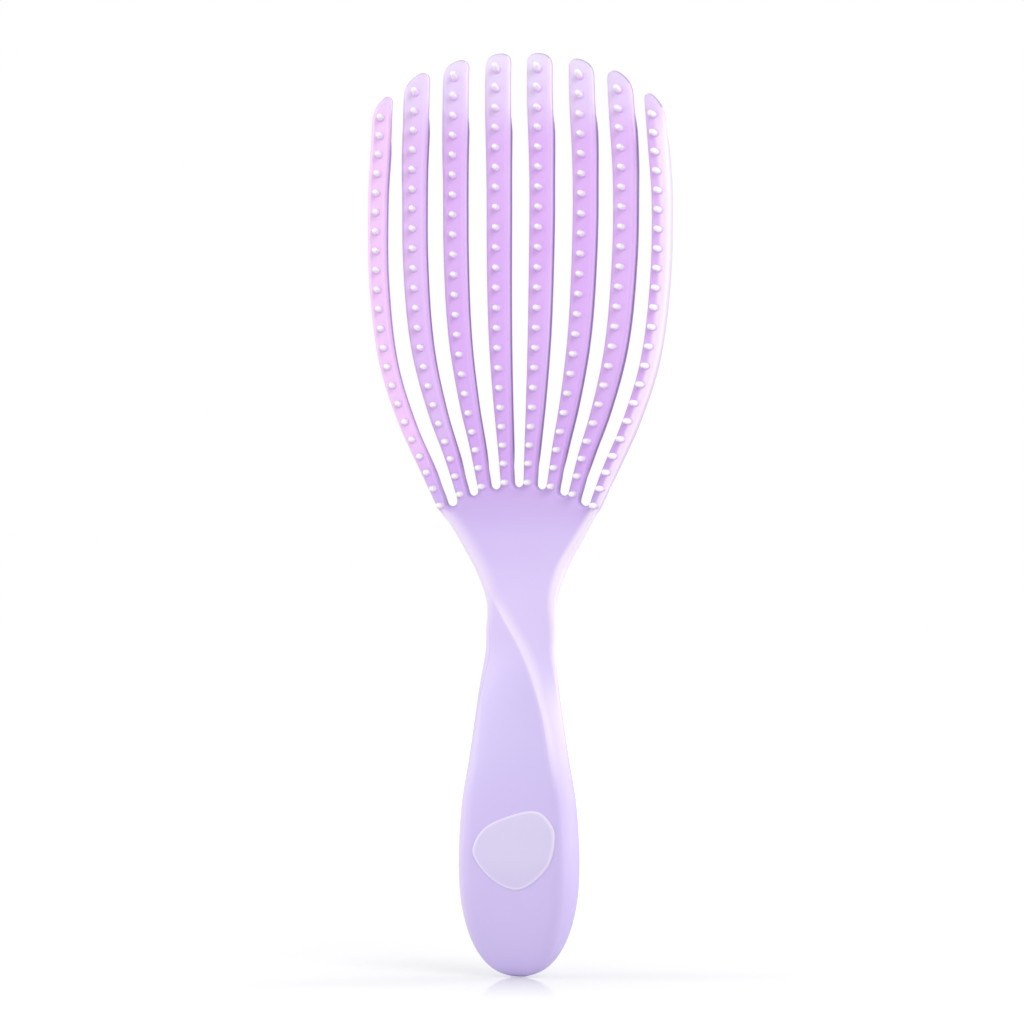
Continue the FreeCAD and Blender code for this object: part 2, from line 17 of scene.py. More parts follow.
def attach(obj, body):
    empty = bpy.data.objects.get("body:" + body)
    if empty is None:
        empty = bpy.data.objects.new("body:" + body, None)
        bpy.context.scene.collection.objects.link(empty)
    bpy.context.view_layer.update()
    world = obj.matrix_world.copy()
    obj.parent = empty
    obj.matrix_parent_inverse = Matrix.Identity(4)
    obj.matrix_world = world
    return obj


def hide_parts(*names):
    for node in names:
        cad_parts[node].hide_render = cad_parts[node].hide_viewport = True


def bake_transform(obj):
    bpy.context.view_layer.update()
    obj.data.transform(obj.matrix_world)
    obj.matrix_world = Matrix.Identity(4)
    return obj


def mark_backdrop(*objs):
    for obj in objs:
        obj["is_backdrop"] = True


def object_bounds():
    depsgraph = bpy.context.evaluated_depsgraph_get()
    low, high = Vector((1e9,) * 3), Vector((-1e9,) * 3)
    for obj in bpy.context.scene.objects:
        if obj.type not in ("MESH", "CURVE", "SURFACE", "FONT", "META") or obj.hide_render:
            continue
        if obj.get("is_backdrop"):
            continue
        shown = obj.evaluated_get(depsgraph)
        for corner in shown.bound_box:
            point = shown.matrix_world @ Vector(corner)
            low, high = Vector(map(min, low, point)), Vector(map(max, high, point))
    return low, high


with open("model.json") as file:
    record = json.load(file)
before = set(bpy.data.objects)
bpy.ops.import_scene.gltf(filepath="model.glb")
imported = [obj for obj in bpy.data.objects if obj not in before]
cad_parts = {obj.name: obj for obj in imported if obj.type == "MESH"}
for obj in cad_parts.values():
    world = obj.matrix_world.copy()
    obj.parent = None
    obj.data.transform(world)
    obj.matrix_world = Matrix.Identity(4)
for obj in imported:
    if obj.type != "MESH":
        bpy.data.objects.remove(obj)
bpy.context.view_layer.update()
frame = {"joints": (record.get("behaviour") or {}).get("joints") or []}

MM = 0.001

# %% [markdown]
# ## Sizes
# All sizes are in millimetres and are turned into metres at the end of each piece. A finger's edges
# follow the spread of the fan: narrow at the root, widest at three quarters, a little closer at the
# tips. Each finger could be drawn by itself, but shared lines keep all eight in step.

# %% Sizes of the fan
LENGTH = 240.0
CROWN, CROWN_RADIUS = 126.8, 35.0  # top of the palm, and the arc on which the slots end
TIP_ARC, TOP_SPARE = 61.0, 0.12  # arc of the tips, and their distance from the brush's full length
OUTER_DROP = 1.1  # the two outer fingers end lower than the arc
WIDTHS = (6.3, 6.3, 6.3, 5.0)  # fingers from the middle outwards
INNER = (2.475, 13.875, 24.525, 34.825)  # their inner edges, from the brush's axis
RUNS = (0.0, 0.1, 0.2, 0.35, 0.55, 0.75, 0.9, 1.0)  # shares of a finger's height
SPREAD = (0.52, 0.635, 0.77, 0.915, 0.99, 1.0, 0.976, 0.957)  # spread of the fan at these
OUTER_WIDTH = (0.58, 0.79, 0.85, 0.93, 0.99, 1.0, 0.976, 0.957)  # width of the outer fingers at these
FULLER, FULLER_RUNS = 0.32, (0.68, 0.90)  # the upper fingers are fuller, coming in between these
FRONT, DEPTH, BEAM = -2.3, 4.6, 3.2  # front face, depth of the palm, depth of a finger by itself
BOW, BEND, BEND_DROP = 1400.0, 48.0, 14.7  # radii of the bow and the bent tips, and the bend's height
CUP, CUP_RISE = 450.0, 18.0  # radius of the fan's hollow front, and the height over which it comes in
LEAN, LEAN_START, LEAN_POWER = 0.95, 197.0, 1.5  # the upper fan leans to the viewer's left
HINGES = {joint["child"]: joint["pos_m"] for joint in frame["joints"]}
print("fan half width", INNER[3] + WIDTHS[3], "mm, on", len(HINGES), "hinges")

# %% [markdown]
# ## Smooth curves
# Moulded plastic has no kinks, so every size that changes along the brush runs on a smooth curve.
# A few points and a formula are easier to adjust than a long list of points.


# %% Curves between sizes
def between(low, high, share):
    return low + (high - low) * share


def fade(value, off, on):
    """Smooth step from 0 where a value is at off to 1 where it is at on."""
    share = np.clip((value - off) / (on - off), 0.0, 1.0)
    return share * share * (3 - 2 * share)


def curve_between(a, b, slope_a, slope_b, share):
    """Point at a share of a smooth curve from a to b with these slopes at its ends."""
    rest = 1 - share
    return (
        (1 + 2 * share) * rest ** 2 * a
        + share * rest ** 2 * slope_a
        + share * share * (3 - 2 * share) * b
        - share * share * rest * slope_b
    )


def smooth_line(xs, ys, x):
    """Smooth curve through points, level where they turn back."""
    xs, ys = np.asarray(xs, float), np.asarray(ys, float)
    steps = np.diff(ys) / np.diff(xs)
    slopes = np.concatenate([[steps[0]], (steps[1:] + steps[:-1]) / 2, [steps[-1]]])
    level = np.concatenate([[False], steps[1:] * steps[:-1] <= 0, [False]])
    slopes[level] = 0
    x = np.clip(x, xs[0], xs[-1])
    i = np.clip(np.searchsorted(xs, x) - 1, 0, len(xs) - 2)
    gap = xs[i + 1] - xs[i]
    return curve_between(ys[i], ys[i + 1], gap * slopes[i], gap * slopes[i + 1], (x - xs[i]) / gap)


def drop(radius, across):
    """How far a circle falls below its top, at a distance from the middle."""
    return radius - math.sqrt(radius ** 2 - across ** 2)


print("crown falls", round(drop(CROWN_RADIUS, INNER[3] * SPREAD[0]), 1), "mm to the outer fingers")

# %% [markdown]
# ## Side profile
# Seen from the side the head is straight at the roots, bows back a little, and the last 15 mm of
# each finger bends back. A bent curve could carry the fingers, but one function that gives the front
# face's place and tilt at any height serves fingers, strips and pegs alike.

# %% Side profile of the head
BEND_START = LENGTH - BEND_DROP
BEND_TILT = math.asin((BEND_START - CROWN) / BOW)
BEND_Y = FRONT + BOW - (BOW - BEND) * math.cos(BEND_TILT)
BEND_Z = CROWN + (BOW - BEND) * math.sin(BEND_TILT)
STEEPEST = 0.999  # sine of the tilt at which the bend ends


def profile(z):
    """(y of the front face, backward tilt) at a height."""
    if z <= CROWN:
        return FRONT, 0.0
    if z <= BEND_START:
        tilt = math.asin((z - CROWN) / BOW)
        return FRONT + BOW * (1 - math.cos(tilt)), tilt
    tilt = math.asin(min((z - BEND_Z) / BEND, STEEPEST))
    return BEND_Y - BEND * math.cos(tilt), tilt


print("tips stand", round(profile(LENGTH)[0] - FRONT, 1), "mm behind the palm's front")

# %% [markdown]
# ## Lines of a finger
# The left fingers mirror the right ones, so each finger is laid out on the right, flat, and is then
# set into the head: bowed, bent, and turned a little so that the fan is hollow in front.


# %% Lay out the eight fingers
class Finger:
    """Lines of one finger, counted from the viewer's left as 1 to 8."""

    def __init__(self, number):
        self.number = number
        self.side = 1 if number > 4 else -1
        self.rank = number - 5 if number > 4 else 4 - number
        self.outermost = self.rank == 3
        low, high = self.edges(1.0)
        self.half_tip = (high - low) / 2
        self.tip_x = (low + high) / 2
        first_tip = (INNER[0] + WIDTHS[0] / 2) * SPREAD[-1]
        fall = drop(TIP_ARC, self.tip_x) - drop(TIP_ARC, first_tip)
        self.tip_z = LENGTH - TOP_SPARE - fall - (OUTER_DROP if self.outermost else 0.0)
        self.slope = self.tip_x / math.sqrt(TIP_ARC ** 2 - self.tip_x ** 2)
        self.root_z = CROWN - drop(CROWN_RADIUS, sum(self.edges(0.0)) / 2)
        self.cup = -math.asin(self.tip_x / CUP)
        self.hinge_x = abs(HINGES["finger_%d" % number][0]) / MM

    @lru_cache(maxsize=None)
    def edges(self, run):
        """Distances of the inner and outer edge from the brush's axis, at a share of the height."""
        inner = INNER[self.rank] * float(smooth_line(RUNS, SPREAD, run))
        shares = OUTER_WIDTH if self.outermost else SPREAD
        outer = inner + WIDTHS[self.rank] * float(smooth_line(RUNS, shares, run))
        fuller = FULLER * float(fade(run, *FULLER_RUNS))
        return inner - fuller, outer + (0.0 if self.outermost else fuller)

    def edges_at(self, z):
        return self.edges((z - self.root_z) / (self.tip_z - self.root_z))

    def set_in_head(self, x, z, deep):
        """Place in the brush of a point of the flat finger: bowed, bent, cupped and leaning."""
        y, tilt = profile(z)
        y = y + deep / math.cos(tilt)
        turn = self.cup * float(fade(z - self.root_z, 0.0, CUP_RISE))
        dx = x - self.hinge_x
        placed_x = self.hinge_x + dx * math.cos(turn) - y * math.sin(turn)
        lean = LEAN * max((z - LEAN_START) / (LENGTH - LEAN_START), 0.0) ** LEAN_POWER
        return self.side * placed_x - lean, dx * math.sin(turn) + y * math.cos(turn), z


FINGERS = [Finger(number) for number in range(1, 9)]
print("tip heights", [round(f.tip_z, 1) for f in FINGERS])

# %% [markdown]
# ## The handle's sections
# The handle is a four-cornered section that turns as it goes down: the palm's broad front narrows
# into the facet on the right, and the palm's left wall opens into the broad face that carries the
# badge. The corner between them is the crisp ridge that sweeps across the neck. A loft or a sculpt
# could give this too, but rows of a few shares keep the ridge where it belongs. Each row holds how
# far it lies from the neck, how wide and deep it is, where the ridge and the facet's far corner
# stand, and how much the faces and walls bulge.

# %% Rows of the handle
ROOT_X, ROOT_Z = 19.63, 117.4
NECK_Z, NECK_HALF, NECK_DEEP = 89.5, 8.8, 6.0
BULB_Z, BULB_HALF, BULB_DEEP = 31.0, 15.0, 10.0
PALM_ROWS = (
    (1.36, 1.46, 1.00, -1.00, -1.00, 0.000, 0.00),
    (1.136, 1.11, 1.00, -1.00, -1.00, 0.000, 0.02),
    (1.00, 0.88, 1.00, -1.00, -1.00, 0.000, 0.05),
    (0.88, 0.68, 0.96, -1.00, -1.00, 0.004, 0.10),
    (0.62, 0.28, 0.80, -0.98, -0.99, 0.010, 0.16),
    (0.36, 0.04, 0.52, -0.80, -0.93, 0.020, 0.14),
    (0.09, 0.00, 0.12, -0.33, -0.62, 0.030, 0.10),
)
GRIP_ROWS = (
    (0.05, 0.00, 0.12, 0.02, -0.43, 0.040, 0.06),
    (0.20, 0.17, 0.37, 0.39, -0.20, 0.060, 0.04),
    (0.39, 0.40, 0.57, 0.62, 0.00, 0.080, 0.03),
    (0.56, 0.61, 0.75, 0.69, 0.11, 0.090, 0.025),
    (0.76, 0.87, 0.92, 0.75, 0.23, 0.100, 0.025),
    (1.00, 1.00, 1.00, 0.76, 0.30, 0.100, 0.025),
)
section_rows = []
for rows, end_z, end_half, end_deep in (
    (PALM_ROWS, ROOT_Z, ROOT_X, DEPTH / 2),
    (GRIP_ROWS, BULB_Z, BULB_HALF, BULB_DEEP),
):
    for run, wide, deep, *shape in rows:
        half, thick = between(NECK_HALF, end_half, wide), between(NECK_DEEP, end_deep, deep)
        section_rows.append((between(NECK_Z, end_z, run), half, thick, *shape))
section_rows.sort()
SECTION_Z, *SECTION_VALUES = zip(*section_rows)
print("handle rows from", round(SECTION_Z[0], 1), "to", round(SECTION_Z[-1], 1), "mm")

# %% [markdown]
# ## Softened corners
# The ridge is crisp at the neck and soft on the bulb, and the side edges are rounder still. Rounding
# takes some width off, so the handle is plumped to make up for it. The neck stands a little to the
# right, and the foot closes in a blunt round.

# %% Section at a height
SOFT_Z = (0.0, 20.0, 60.0, 84.0, 96.0, 106.0, 116.0, 128.0)
RIDGE_SOFT = (3.0, 1.8, 0.8, 0.6, 0.7, 0.9, 0.8, 0.65)
SIDE_SOFT = (4.0, 4.0, 3.4, 2.2, 1.2, 0.9, 0.8, 0.65)
SOFT_LIMIT = 0.42  # most of a side that one softened corner takes up
CORNER_PULL = 0.76  # how far a softened corner keeps towards the sharp one
PLUMP_Z = (0.0, 20.0, 40.0, 75.0, 88.0, 96.0, 106.0)
PLUMP = (1.0, 1.25, 1.2, 1.45, 1.5, 0.7, 0.0)
NECK_SHIFT_Z = (74.0, 88.0, 98.0, 110.0, 117.0, 122.0)
NECK_SHIFT = (0.0, 0.5, 0.75, 0.6, 0.5, 0.0)
FOOT_POWER, FOOT_LEAST = 2.4, 0.12  # bluntness of the foot's round, and the scale of its last ring


class Section:
    """Outline of the handle at one height, with softened corners."""

    def __init__(self, z):
        values = [float(smooth_line(SECTION_Z, row, max(z, BULB_Z))) for row in SECTION_VALUES]
        half, thick, ridge, facet, self.broad, self.wall = values
        low = min(max(1 - z / BULB_Z, 0.0), 1.0)
        scale = max((1 - low ** FOOT_POWER) ** (1 / FOOT_POWER), FOOT_LEAST)
        half = (half + float(smooth_line(PLUMP_Z, PLUMP, z))) * scale
        thick = thick * scale
        first = np.array([ridge * half, -thick])
        second = np.array([half, facet * thick])
        shift = np.array([float(smooth_line(NECK_SHIFT_Z, NECK_SHIFT, z)), 0.0])
        self.corners = [first + shift, second + shift, shift - first, shift - second]
        softness = [float(smooth_line(SOFT_Z, soft, z)) * scale for soft in (RIDGE_SOFT, SIDE_SOFT)]
        self.soft = softness + softness

    def side(self, index, share):
        """Point on a side, from its first corner to its second, bulged outwards."""
        a, b = self.corners[index], self.corners[(index + 1) % 4]
        along = b - a
        bulge = (self.broad, self.wall)[index % 2]
        outward = np.array([along[1], -along[0]])
        return a + along * share + outward * (4 * share * (1 - share) * bulge)

    def on_side(self, index, share):
        """Point on the part of a side that its softened corners leave."""
        after = (index + 1) % 4
        length = np.linalg.norm(self.corners[after] - self.corners[index])
        low, high = (min(self.soft[corner] / length, SOFT_LIMIT) for corner in (index, after))
        return self.side(index, between(low, 1 - high, share))

    def on_corner(self, index):
        middle = (self.on_side((index + 3) % 4, 1.0) + self.on_side(index, 0.0)) / 2
        return between(middle, self.corners[index], CORNER_PULL)


@lru_cache(maxsize=None)
def section_at(z):
    return Section(z)


print("neck is", round(2 * section_at(NECK_Z).corners[1][0], 1), "mm wide before rounding")

# %% [markdown]
# ## Operators on one object
# Blender's operators act on what is selected, so one helper makes an object the only selected one,
# and another picks faces or edges by a test on their vertices before edit mode opens.


# %% Helpers for selecting
def only(obj):
    if bpy.context.object and bpy.context.object.mode != "OBJECT":
        bpy.ops.object.mode_set(mode="OBJECT")
    bpy.ops.object.select_all(action="DESELECT")
    obj.select_set(True)
    bpy.context.view_layer.objects.active = obj


def edit(obj, mode):
    """Clear the selection inside a mesh and set what edit mode selects."""
    only(obj)
    bpy.ops.object.mode_set(mode="EDIT")
    bpy.ops.mesh.select_mode(type=mode)
    bpy.ops.mesh.select_all(action="DESELECT")
    bpy.ops.object.mode_set(mode="OBJECT")


def pick(obj, mode, test):
    """Open edit mode with the faces or edges selected whose points all pass a test."""
    edit(obj, mode)
    good = [test(v.co) for v in obj.data.vertices]
    parts = obj.data.polygons if mode == "FACE" else obj.data.edges
    parts.foreach_set("select", [all(good[i] for i in part.vertices) for part in parts])
    bpy.ops.object.mode_set(mode="EDIT")


def pick_all(obj):
    pick(obj, "FACE", lambda co: True)


def points_of(obj):
    co = np.empty(len(obj.data.vertices) * 3)
    obj.data.vertices.foreach_get("co", co)
    return co.reshape(-1, 3)


def set_points(obj, co):
    obj.data.vertices.foreach_set("co", np.asarray(co, float).ravel())
    obj.data.update()


print("helpers for selecting and placing points ready")

# %% [markdown]
# ## Blanks
# A long moulded bar could be built from a box, but its faces would have to be cut up afterwards.
# Here a bar starts as a flat grid with one unit per column and row and is pulled up in layers, so
# a vertex's coordinates are simply its column, row and layer until it is formed.

# %% Helpers for blanks
MERGE = 1e-7


def add_grid(name, columns, rows):
    """Flat blank with one unit per column and row, lying in the XY plane from the origin."""
    bpy.ops.object.select_all(action="DESELECT")
    bpy.ops.mesh.primitive_grid_add(x_subdivisions=columns, y_subdivisions=rows, size=2)
    obj = bpy.context.object
    obj.name = obj.data.name = name
    middle = Matrix.Translation((columns / 2, rows / 2, 0))
    obj.data.transform(middle @ Matrix.Diagonal((columns / 2, rows / 2, 1, 1)))
    return obj


def thicken(obj, layers):
    """Pull the blank up into a slab, one unit per layer."""
    pick_all(obj)
    for _ in range(layers):
        bpy.ops.mesh.extrude_region_move(TRANSFORM_OT_translate={"value": (0, 0, 1)})
    bpy.ops.object.mode_set(mode="OBJECT")


def face_out(obj):
    """Merge points that coincide and turn all faces outwards."""
    pick_all(obj)
    bpy.ops.mesh.remove_doubles(threshold=MERGE)
    bpy.ops.mesh.normals_make_consistent(inside=False)
    bpy.ops.object.mode_set(mode="OBJECT")


print("helpers for blanks ready")

# %% [markdown]
# ## Blank of the moulding
# Palm, fingers and handle are one smooth moulding to the eye. It could be sculpted, or joined from
# separate bars, but a join at every root would show. So one flat blank is cut out with the slots
# between the fingers, thickened in layers, and its lower rim is drawn down in rings for the handle.
# The rings lie evenly down to the bulb and closer together towards the foot.

# %% Cut and thicken the blank
ACROSS, SLOT = 6, 6
PALM_STEPS, LIMB_STEPS, TIP_STEPS = 6, 48, 4
LAYERS = 8
COLUMNS = 8 * ACROSS + 7 * SLOT
ROWS = PALM_STEPS + LIMB_STEPS + TIP_STEPS
PERIOD = ACROSS + SLOT
NEAR = 0.25  # well under one unit of the blank
moulding = add_grid("moulding", COLUMNS, ROWS)
for gap in range(7):
    start = gap * PERIOD + ACROSS
    pick(
        moulding,
        "FACE",
        lambda co: start - NEAR < co.x < start + SLOT + NEAR and co.y > PALM_STEPS - NEAR,
    )
    bpy.ops.mesh.delete(type="FACE")
    bpy.ops.object.mode_set(mode="OBJECT")
thicken(moulding, LAYERS)

RINGS, RING_TOP, RING_STEP = 35, 119.0, 2.55
FOOT_ANGLES = (10, 20, 30, 40, 49, 58, 66, 73, 79, 84, 90)
RING_Z = [RING_TOP - RING_STEP * ring for ring in range(RINGS)]
RING_Z += [BULB_Z * (1 - math.sin(math.radians(angle))) for angle in FOOT_ANGLES]
pick(moulding, "FACE", lambda co: co.y < NEAR)
bpy.ops.mesh.delete(type="FACE")
bpy.ops.object.mode_set(mode="OBJECT")
pick(moulding, "EDGE", lambda co: co.y < NEAR)
for _ in RING_Z:
    bpy.ops.mesh.extrude_edges_move(TRANSFORM_OT_translate={"value": (0, -1, 0)})
bpy.ops.object.mode_set(mode="OBJECT")
print("blank has", len(moulding.data.vertices), "points")

# %% [markdown]
# ## Front lines of the fingers
# The rim of every finger is rounded over, so the flat part of the front is narrower than the finger
# by that rounding. This step places the flat part: straight rows up each finger, then a slanted,
# slightly squared round at the tip, filled from its sides and top.

# %% Lay out the fronts
EDGE_ROUND = 0.2  # rounding of a finger's front edge, as a share of its width
TIP_RISE = 0.85  # height of a tip's round, as a share of its half width
TIP_SQUARED = (0.62, 0.86)  # powers that square the round, on its inner and outer side
TIP_TURN = math.radians(40)  # where the tip's sides pass into its top
OUTER_ROOT_RISE = 0.4


def rounding(low, high):
    """Radius of the rounded front edge of a finger between two edges."""
    return EDGE_ROUND * (high - low)


def front_edges(finger, z_in, z_out):
    """Flat front's inner and outer edge, each at its height, set in from the finger's outline."""
    low, high = finger.edges_at(z_in)
    inner = low + rounding(low, high)
    low, high = finger.edges_at(z_out)
    return inner, high - rounding(low, high)


@lru_cache(maxsize=None)
def slot_shoulder(rank):
    """Height at which the slot on the inner side of a finger's rank becomes straight."""
    right = FINGERS[4 + rank].edges(0.0)[0]
    left = -right if rank == 0 else FINGERS[3 + rank].edges(0.0)[1]
    return CROWN - drop(CROWN_RADIUS, (left + right) / 2) + (right - left) / 2


def tip_corner(finger, angle):
    """Point of the tip's slanted, slightly squared round, set in by the edge rounding."""
    soft = rounding(0.0, 2 * finger.half_tip)
    radius = finger.half_tip - soft
    squared = between(*TIP_SQUARED, angle / math.pi)
    across = -math.copysign(abs(math.cos(angle)) ** squared, math.cos(angle))
    rise = abs(math.sin(angle)) ** squared
    fall = soft + TIP_RISE * radius * (1 - rise) + finger.half_tip * across * finger.slope
    return np.array([finger.tip_x + across * radius, finger.tip_z - fall])


@lru_cache(maxsize=None)
def finger_front(finger, column, row):
    """(x, z) of the flat front, for a right-hand finger, column 0 on its inner edge."""
    share = column / ACROSS
    base_left, base_right = tip_corner(finger, 0.0), tip_corner(finger, math.pi)
    if row <= LIMB_STEPS:
        low_in = slot_shoulder(finger.rank)
        if finger.outermost:
            low_out = finger.root_z + OUTER_ROOT_RISE
        else:
            low_out = slot_shoulder(finger.rank + 1)
        rise = row / LIMB_STEPS
        z_in, z_out = between(low_in, base_left[1], rise), between(low_out, base_right[1], rise)
        x_in, x_out = front_edges(finger, z_in, z_out)
        return between(x_in, x_out, share), between(z_in, z_out, share)
    up = (row - LIMB_STEPS) / TIP_STEPS

    def level(turn):
        """Point across the tip, between its sides at an angle up the round."""
        return between(tip_corner(finger, turn), tip_corner(finger, math.pi - turn), share)

    top = tip_corner(finger, between(TIP_TURN, math.pi - TIP_TURN, share))
    return tuple(level(TIP_TURN * up) + (top - level(TIP_TURN)) * up)


print("finger 5 is", round(finger_front(FINGERS[4], 3, ROWS - PALM_STEPS)[1], 1), "mm high at its flat front")

# %% [markdown]
# ## Top line of the palm
# The palm ends in the finger roots and, between them, in the round ends of the slots. One line along
# this top row ties the palm below it to the fingers above.


# %% Lay out the crown
def flat_front(column, row):
    """(finger, x, z) of the flat front above the palm, on the right-hand side."""
    block, step = divmod(column, PERIOD)
    finger = FINGERS[block]
    own = step if finger.side > 0 else ACROSS - step
    return finger, *finger_front(finger, own, row - PALM_STEPS)


@lru_cache(maxsize=None)
def crown_point(column):
    """(x, z) of the flat front along the top row of the palm, fingers and slot ends alike."""
    block, step = divmod(column, PERIOD)
    if step <= ACROSS:
        finger, x, z = flat_front(column, PALM_STEPS)
        return finger.side * x, z
    x_left, z_left = crown_point(block * PERIOD + ACROSS)
    x_right, z_right = crown_point((block + 1) * PERIOD)
    angle = math.pi * (step - ACROSS) / SLOT
    centre, radius = (x_left + x_right) / 2, (x_right - x_left) / 2
    level = between(z_left, z_right, 0.5 - 0.5 * math.cos(angle))
    return centre - radius * math.cos(angle), level - radius * math.sin(angle)


CROWN_LINE = [crown_point(column) for column in range(COLUMNS + 1)]
EDGE_X = CROWN_LINE[-1][0]
print("palm is", round(2 * EDGE_X, 1), "mm wide at the crown, flat part")

# %% [markdown]
# ## Rounded rims
# Fingers are rounded over in front, so that hair slides past, and only eased behind. A bevel on so
# many narrow faces could overlap at the slot ends, so the layers of the blank are laid on a quarter
# round in front and a small one at the back.

# %% Round the rims
FRONT_LAYERS, BACK_LAYERS = 4, 2
RIM_DEPTH = 0.66  # depth of the front round, as a share of the finger's
PALM_BACK, FINGER_BACK = 0.5, 0.3  # small rounds at the back
ROOT_THICK = (4.0, 7.0)  # heights above the root between which the palm's depth runs out
TIP_THIN_Z, TIP_THINNER = (218.0, 230.0), 1.0


def rim(soft, layer, depth, soft_back):
    """(distance out from the flat front, depth) of a rounded rim at a layer."""
    deep = RIM_DEPTH * min(depth, BEAM)
    if layer <= FRONT_LAYERS:
        angle = math.pi / 2 * layer / FRONT_LAYERS
        return soft * math.sin(angle), deep * (1 - math.cos(angle))
    if layer >= LAYERS - BACK_LAYERS:
        angle = math.pi / 2 * (LAYERS - layer) / BACK_LAYERS
        return soft - soft_back + soft_back * math.sin(angle), depth - soft_back * (1 - math.cos(angle))
    return soft, between(deep, depth - soft_back, 0.5)


@lru_cache(maxsize=None)
def finger_depth(z, root_z):
    """Thickness of a finger: full at the root, the beam above it, thinner at the tip."""
    root = smooth_line([root_z + rise for rise in ROOT_THICK], (DEPTH, BEAM), z)
    return float(root - smooth_line(TIP_THIN_Z, (0.0, TIP_THINNER), z))


def left_of(along):
    """Unit direction a quarter turn to the left of another, seen from the front."""
    return np.array([-along[1], along[0]]) / np.linalg.norm(along)


@lru_cache(maxsize=None)
def outward_at(column, row):
    """Direction out of the outline of a finger or slot end at a rim vertex, in the flat."""
    block, step = divmod(column, PERIOD)
    if step > ACROSS:
        return left_of(np.subtract(CROWN_LINE[column + 1], CROWN_LINE[column - 1]))

    def at(near, up):
        finger, x, z = flat_front(block * PERIOD + near, up)
        return np.array([finger.side * x, z])

    total = np.zeros(2)
    if step in (0, ACROSS):
        for low in (row - 1, row):
            if PALM_STEPS <= low < ROWS:
                upward = left_of(at(step, low + 1) - at(step, low))
                total += upward if step == 0 else -upward
    if row == ROWS:
        for near in (step - 1, step):
            if 0 <= near < ACROSS:
                total += left_of(at(near + 1, row) - at(near, row))
    return total / np.linalg.norm(total)


print("a finger's front round is", round(rim(0.0, FRONT_LAYERS, BEAM, FINGER_BACK)[1], 2), "mm deep")

# %% [markdown]
# ## Forming the moulding
# Every vertex of the blank now goes to its place. Fingers take the laid-out fronts with their rims
# rolled over, and the palm and handle take the turning sections. Pulling points about by hand would
# do the same, but a rule for each region keeps left and right in step.

# %% Places on the moulding
PALM_BAND = 5.6  # height of the band of rows under the crown
ARC_HALF = 21.0  # half width over which the rows follow the crown's arc
ARC_END = 100.0  # height at which the rings lie level


def palm_place(column, row, layer):
    """Place of a vertex of the palm or handle."""
    top_x, top_z = CROWN_LINE[column]
    arc = drop(CROWN_RADIUS, min(abs(top_x), ARC_HALF))
    if row >= 0:
        z = between(CROWN - PALM_BAND - arc, top_z, row / PALM_STEPS)
    else:
        level = RING_Z[-row - 1]
        z = level - arc * min(max((level - ARC_END) / (RING_TOP - ARC_END), 0.0), 1.0)
    section = section_at(round(z, 3))
    across = top_x / EDGE_X
    right = column == COLUMNS
    if layer == 0:
        x, y = section.on_side(0, (1 + across) / 2)
    elif layer == 1:
        x, y = section.on_corner(1 if right else 0)
    elif layer == LAYERS - 1:
        x, y = section.on_corner(2 if right else 3)
    elif layer == LAYERS:
        x, y = section.on_side(2, (1 - across) / 2)
    else:
        share = (layer - 2) / (LAYERS - 4)
        x, y = section.on_side(1, share) if right else section.on_side(3, 1 - share)
    if row >= 0 and layer in (0, LAYERS):
        x = between(x, top_x, (row / PALM_STEPS) ** 2)
    return x, y, z


def limb_place(column, row, layer):
    """Place of a vertex of a finger or of a slot's round end."""
    block, step = divmod(column, PERIOD)
    out = outward_at(column, row) if 0 < layer < LAYERS else np.zeros(2)
    if step > ACROSS:
        x, z = CROWN_LINE[column]
        reach, deep = rim(rounding(*FINGERS[block].edges(0.0)), layer, DEPTH, PALM_BACK)
        return x + out[0] * reach, FRONT + deep, z + out[1] * reach
    finger, x, z = flat_front(column, row)
    depth = finger_depth(z, finger.root_z)
    reach, deep = rim(rounding(*finger.edges_at(z)), layer, depth, FINGER_BACK)
    return finger.set_in_head(x + finger.side * out[0] * reach, z + out[1] * reach, deep)


print("foot ends at", [round(float(v), 1) for v in palm_place(0, -len(RING_Z), 0)], "mm")

# %% [markdown]
# ## Smoothing
# The formed blank is still faceted. A finer blank would be slow to form, so one level of subdivision
# smooths it. Each vertex keeps its column, row and layer, which tell the regions apart later.

# %% Form the moulding
blank = np.rint(points_of(moulding)).astype(int)
formed = np.zeros((len(blank), 3))
for index, (column, row, layer) in enumerate(blank):
    place = limb_place if row >= PALM_STEPS else palm_place
    formed[index] = place(column, row, layer)
BLANK_AXES = ("column", "row", "layer")
for name, values in zip(BLANK_AXES, blank.T):
    attribute = moulding.data.attributes.new(name, "FLOAT", "POINT")
    attribute.data.foreach_set("value", values.astype(np.float32))
set_points(moulding, formed * MM)
face_out(moulding)
only(moulding)
bpy.ops.object.shade_smooth()
smoother = moulding.modifiers.new("rounder", "SUBSURF")
smoother.levels = smoother.render_levels = 1
bpy.ops.object.modifier_apply(modifier=smoother.name)
print("moulding has", len(moulding.data.polygons), "faces")

# %% [markdown]
# ## Splitting the fingers off
# Each finger bends by itself, so the moulding is split where the fingers have left the slot ends and
# run straight. The cut ends are closed, and their edges marked sharp so that the closing face
# doesn't tilt the shading beside it: at rest the joint can't be seen.

# %% Split off the fingers
CUT_ROW, CUT_NEAR = PALM_STEPS + 2, 0.01


def value_of(obj, name):
    values = np.empty(len(obj.data.vertices), np.float32)
    obj.data.attributes[name].data.foreach_get("value", values)
    return values


def close_ends(obj):
    edit(obj, "EDGE")
    bpy.ops.object.mode_set(mode="EDIT")
    bpy.ops.mesh.select_non_manifold(
        extend=False,
        use_wire=False,
        use_multi_face=False,
        use_non_contiguous=False,
        use_verts=False,
    )
    bpy.ops.mesh.mark_sharp()
    bpy.ops.mesh.fill_holes(sides=0)
    bpy.ops.object.mode_set(mode="OBJECT")


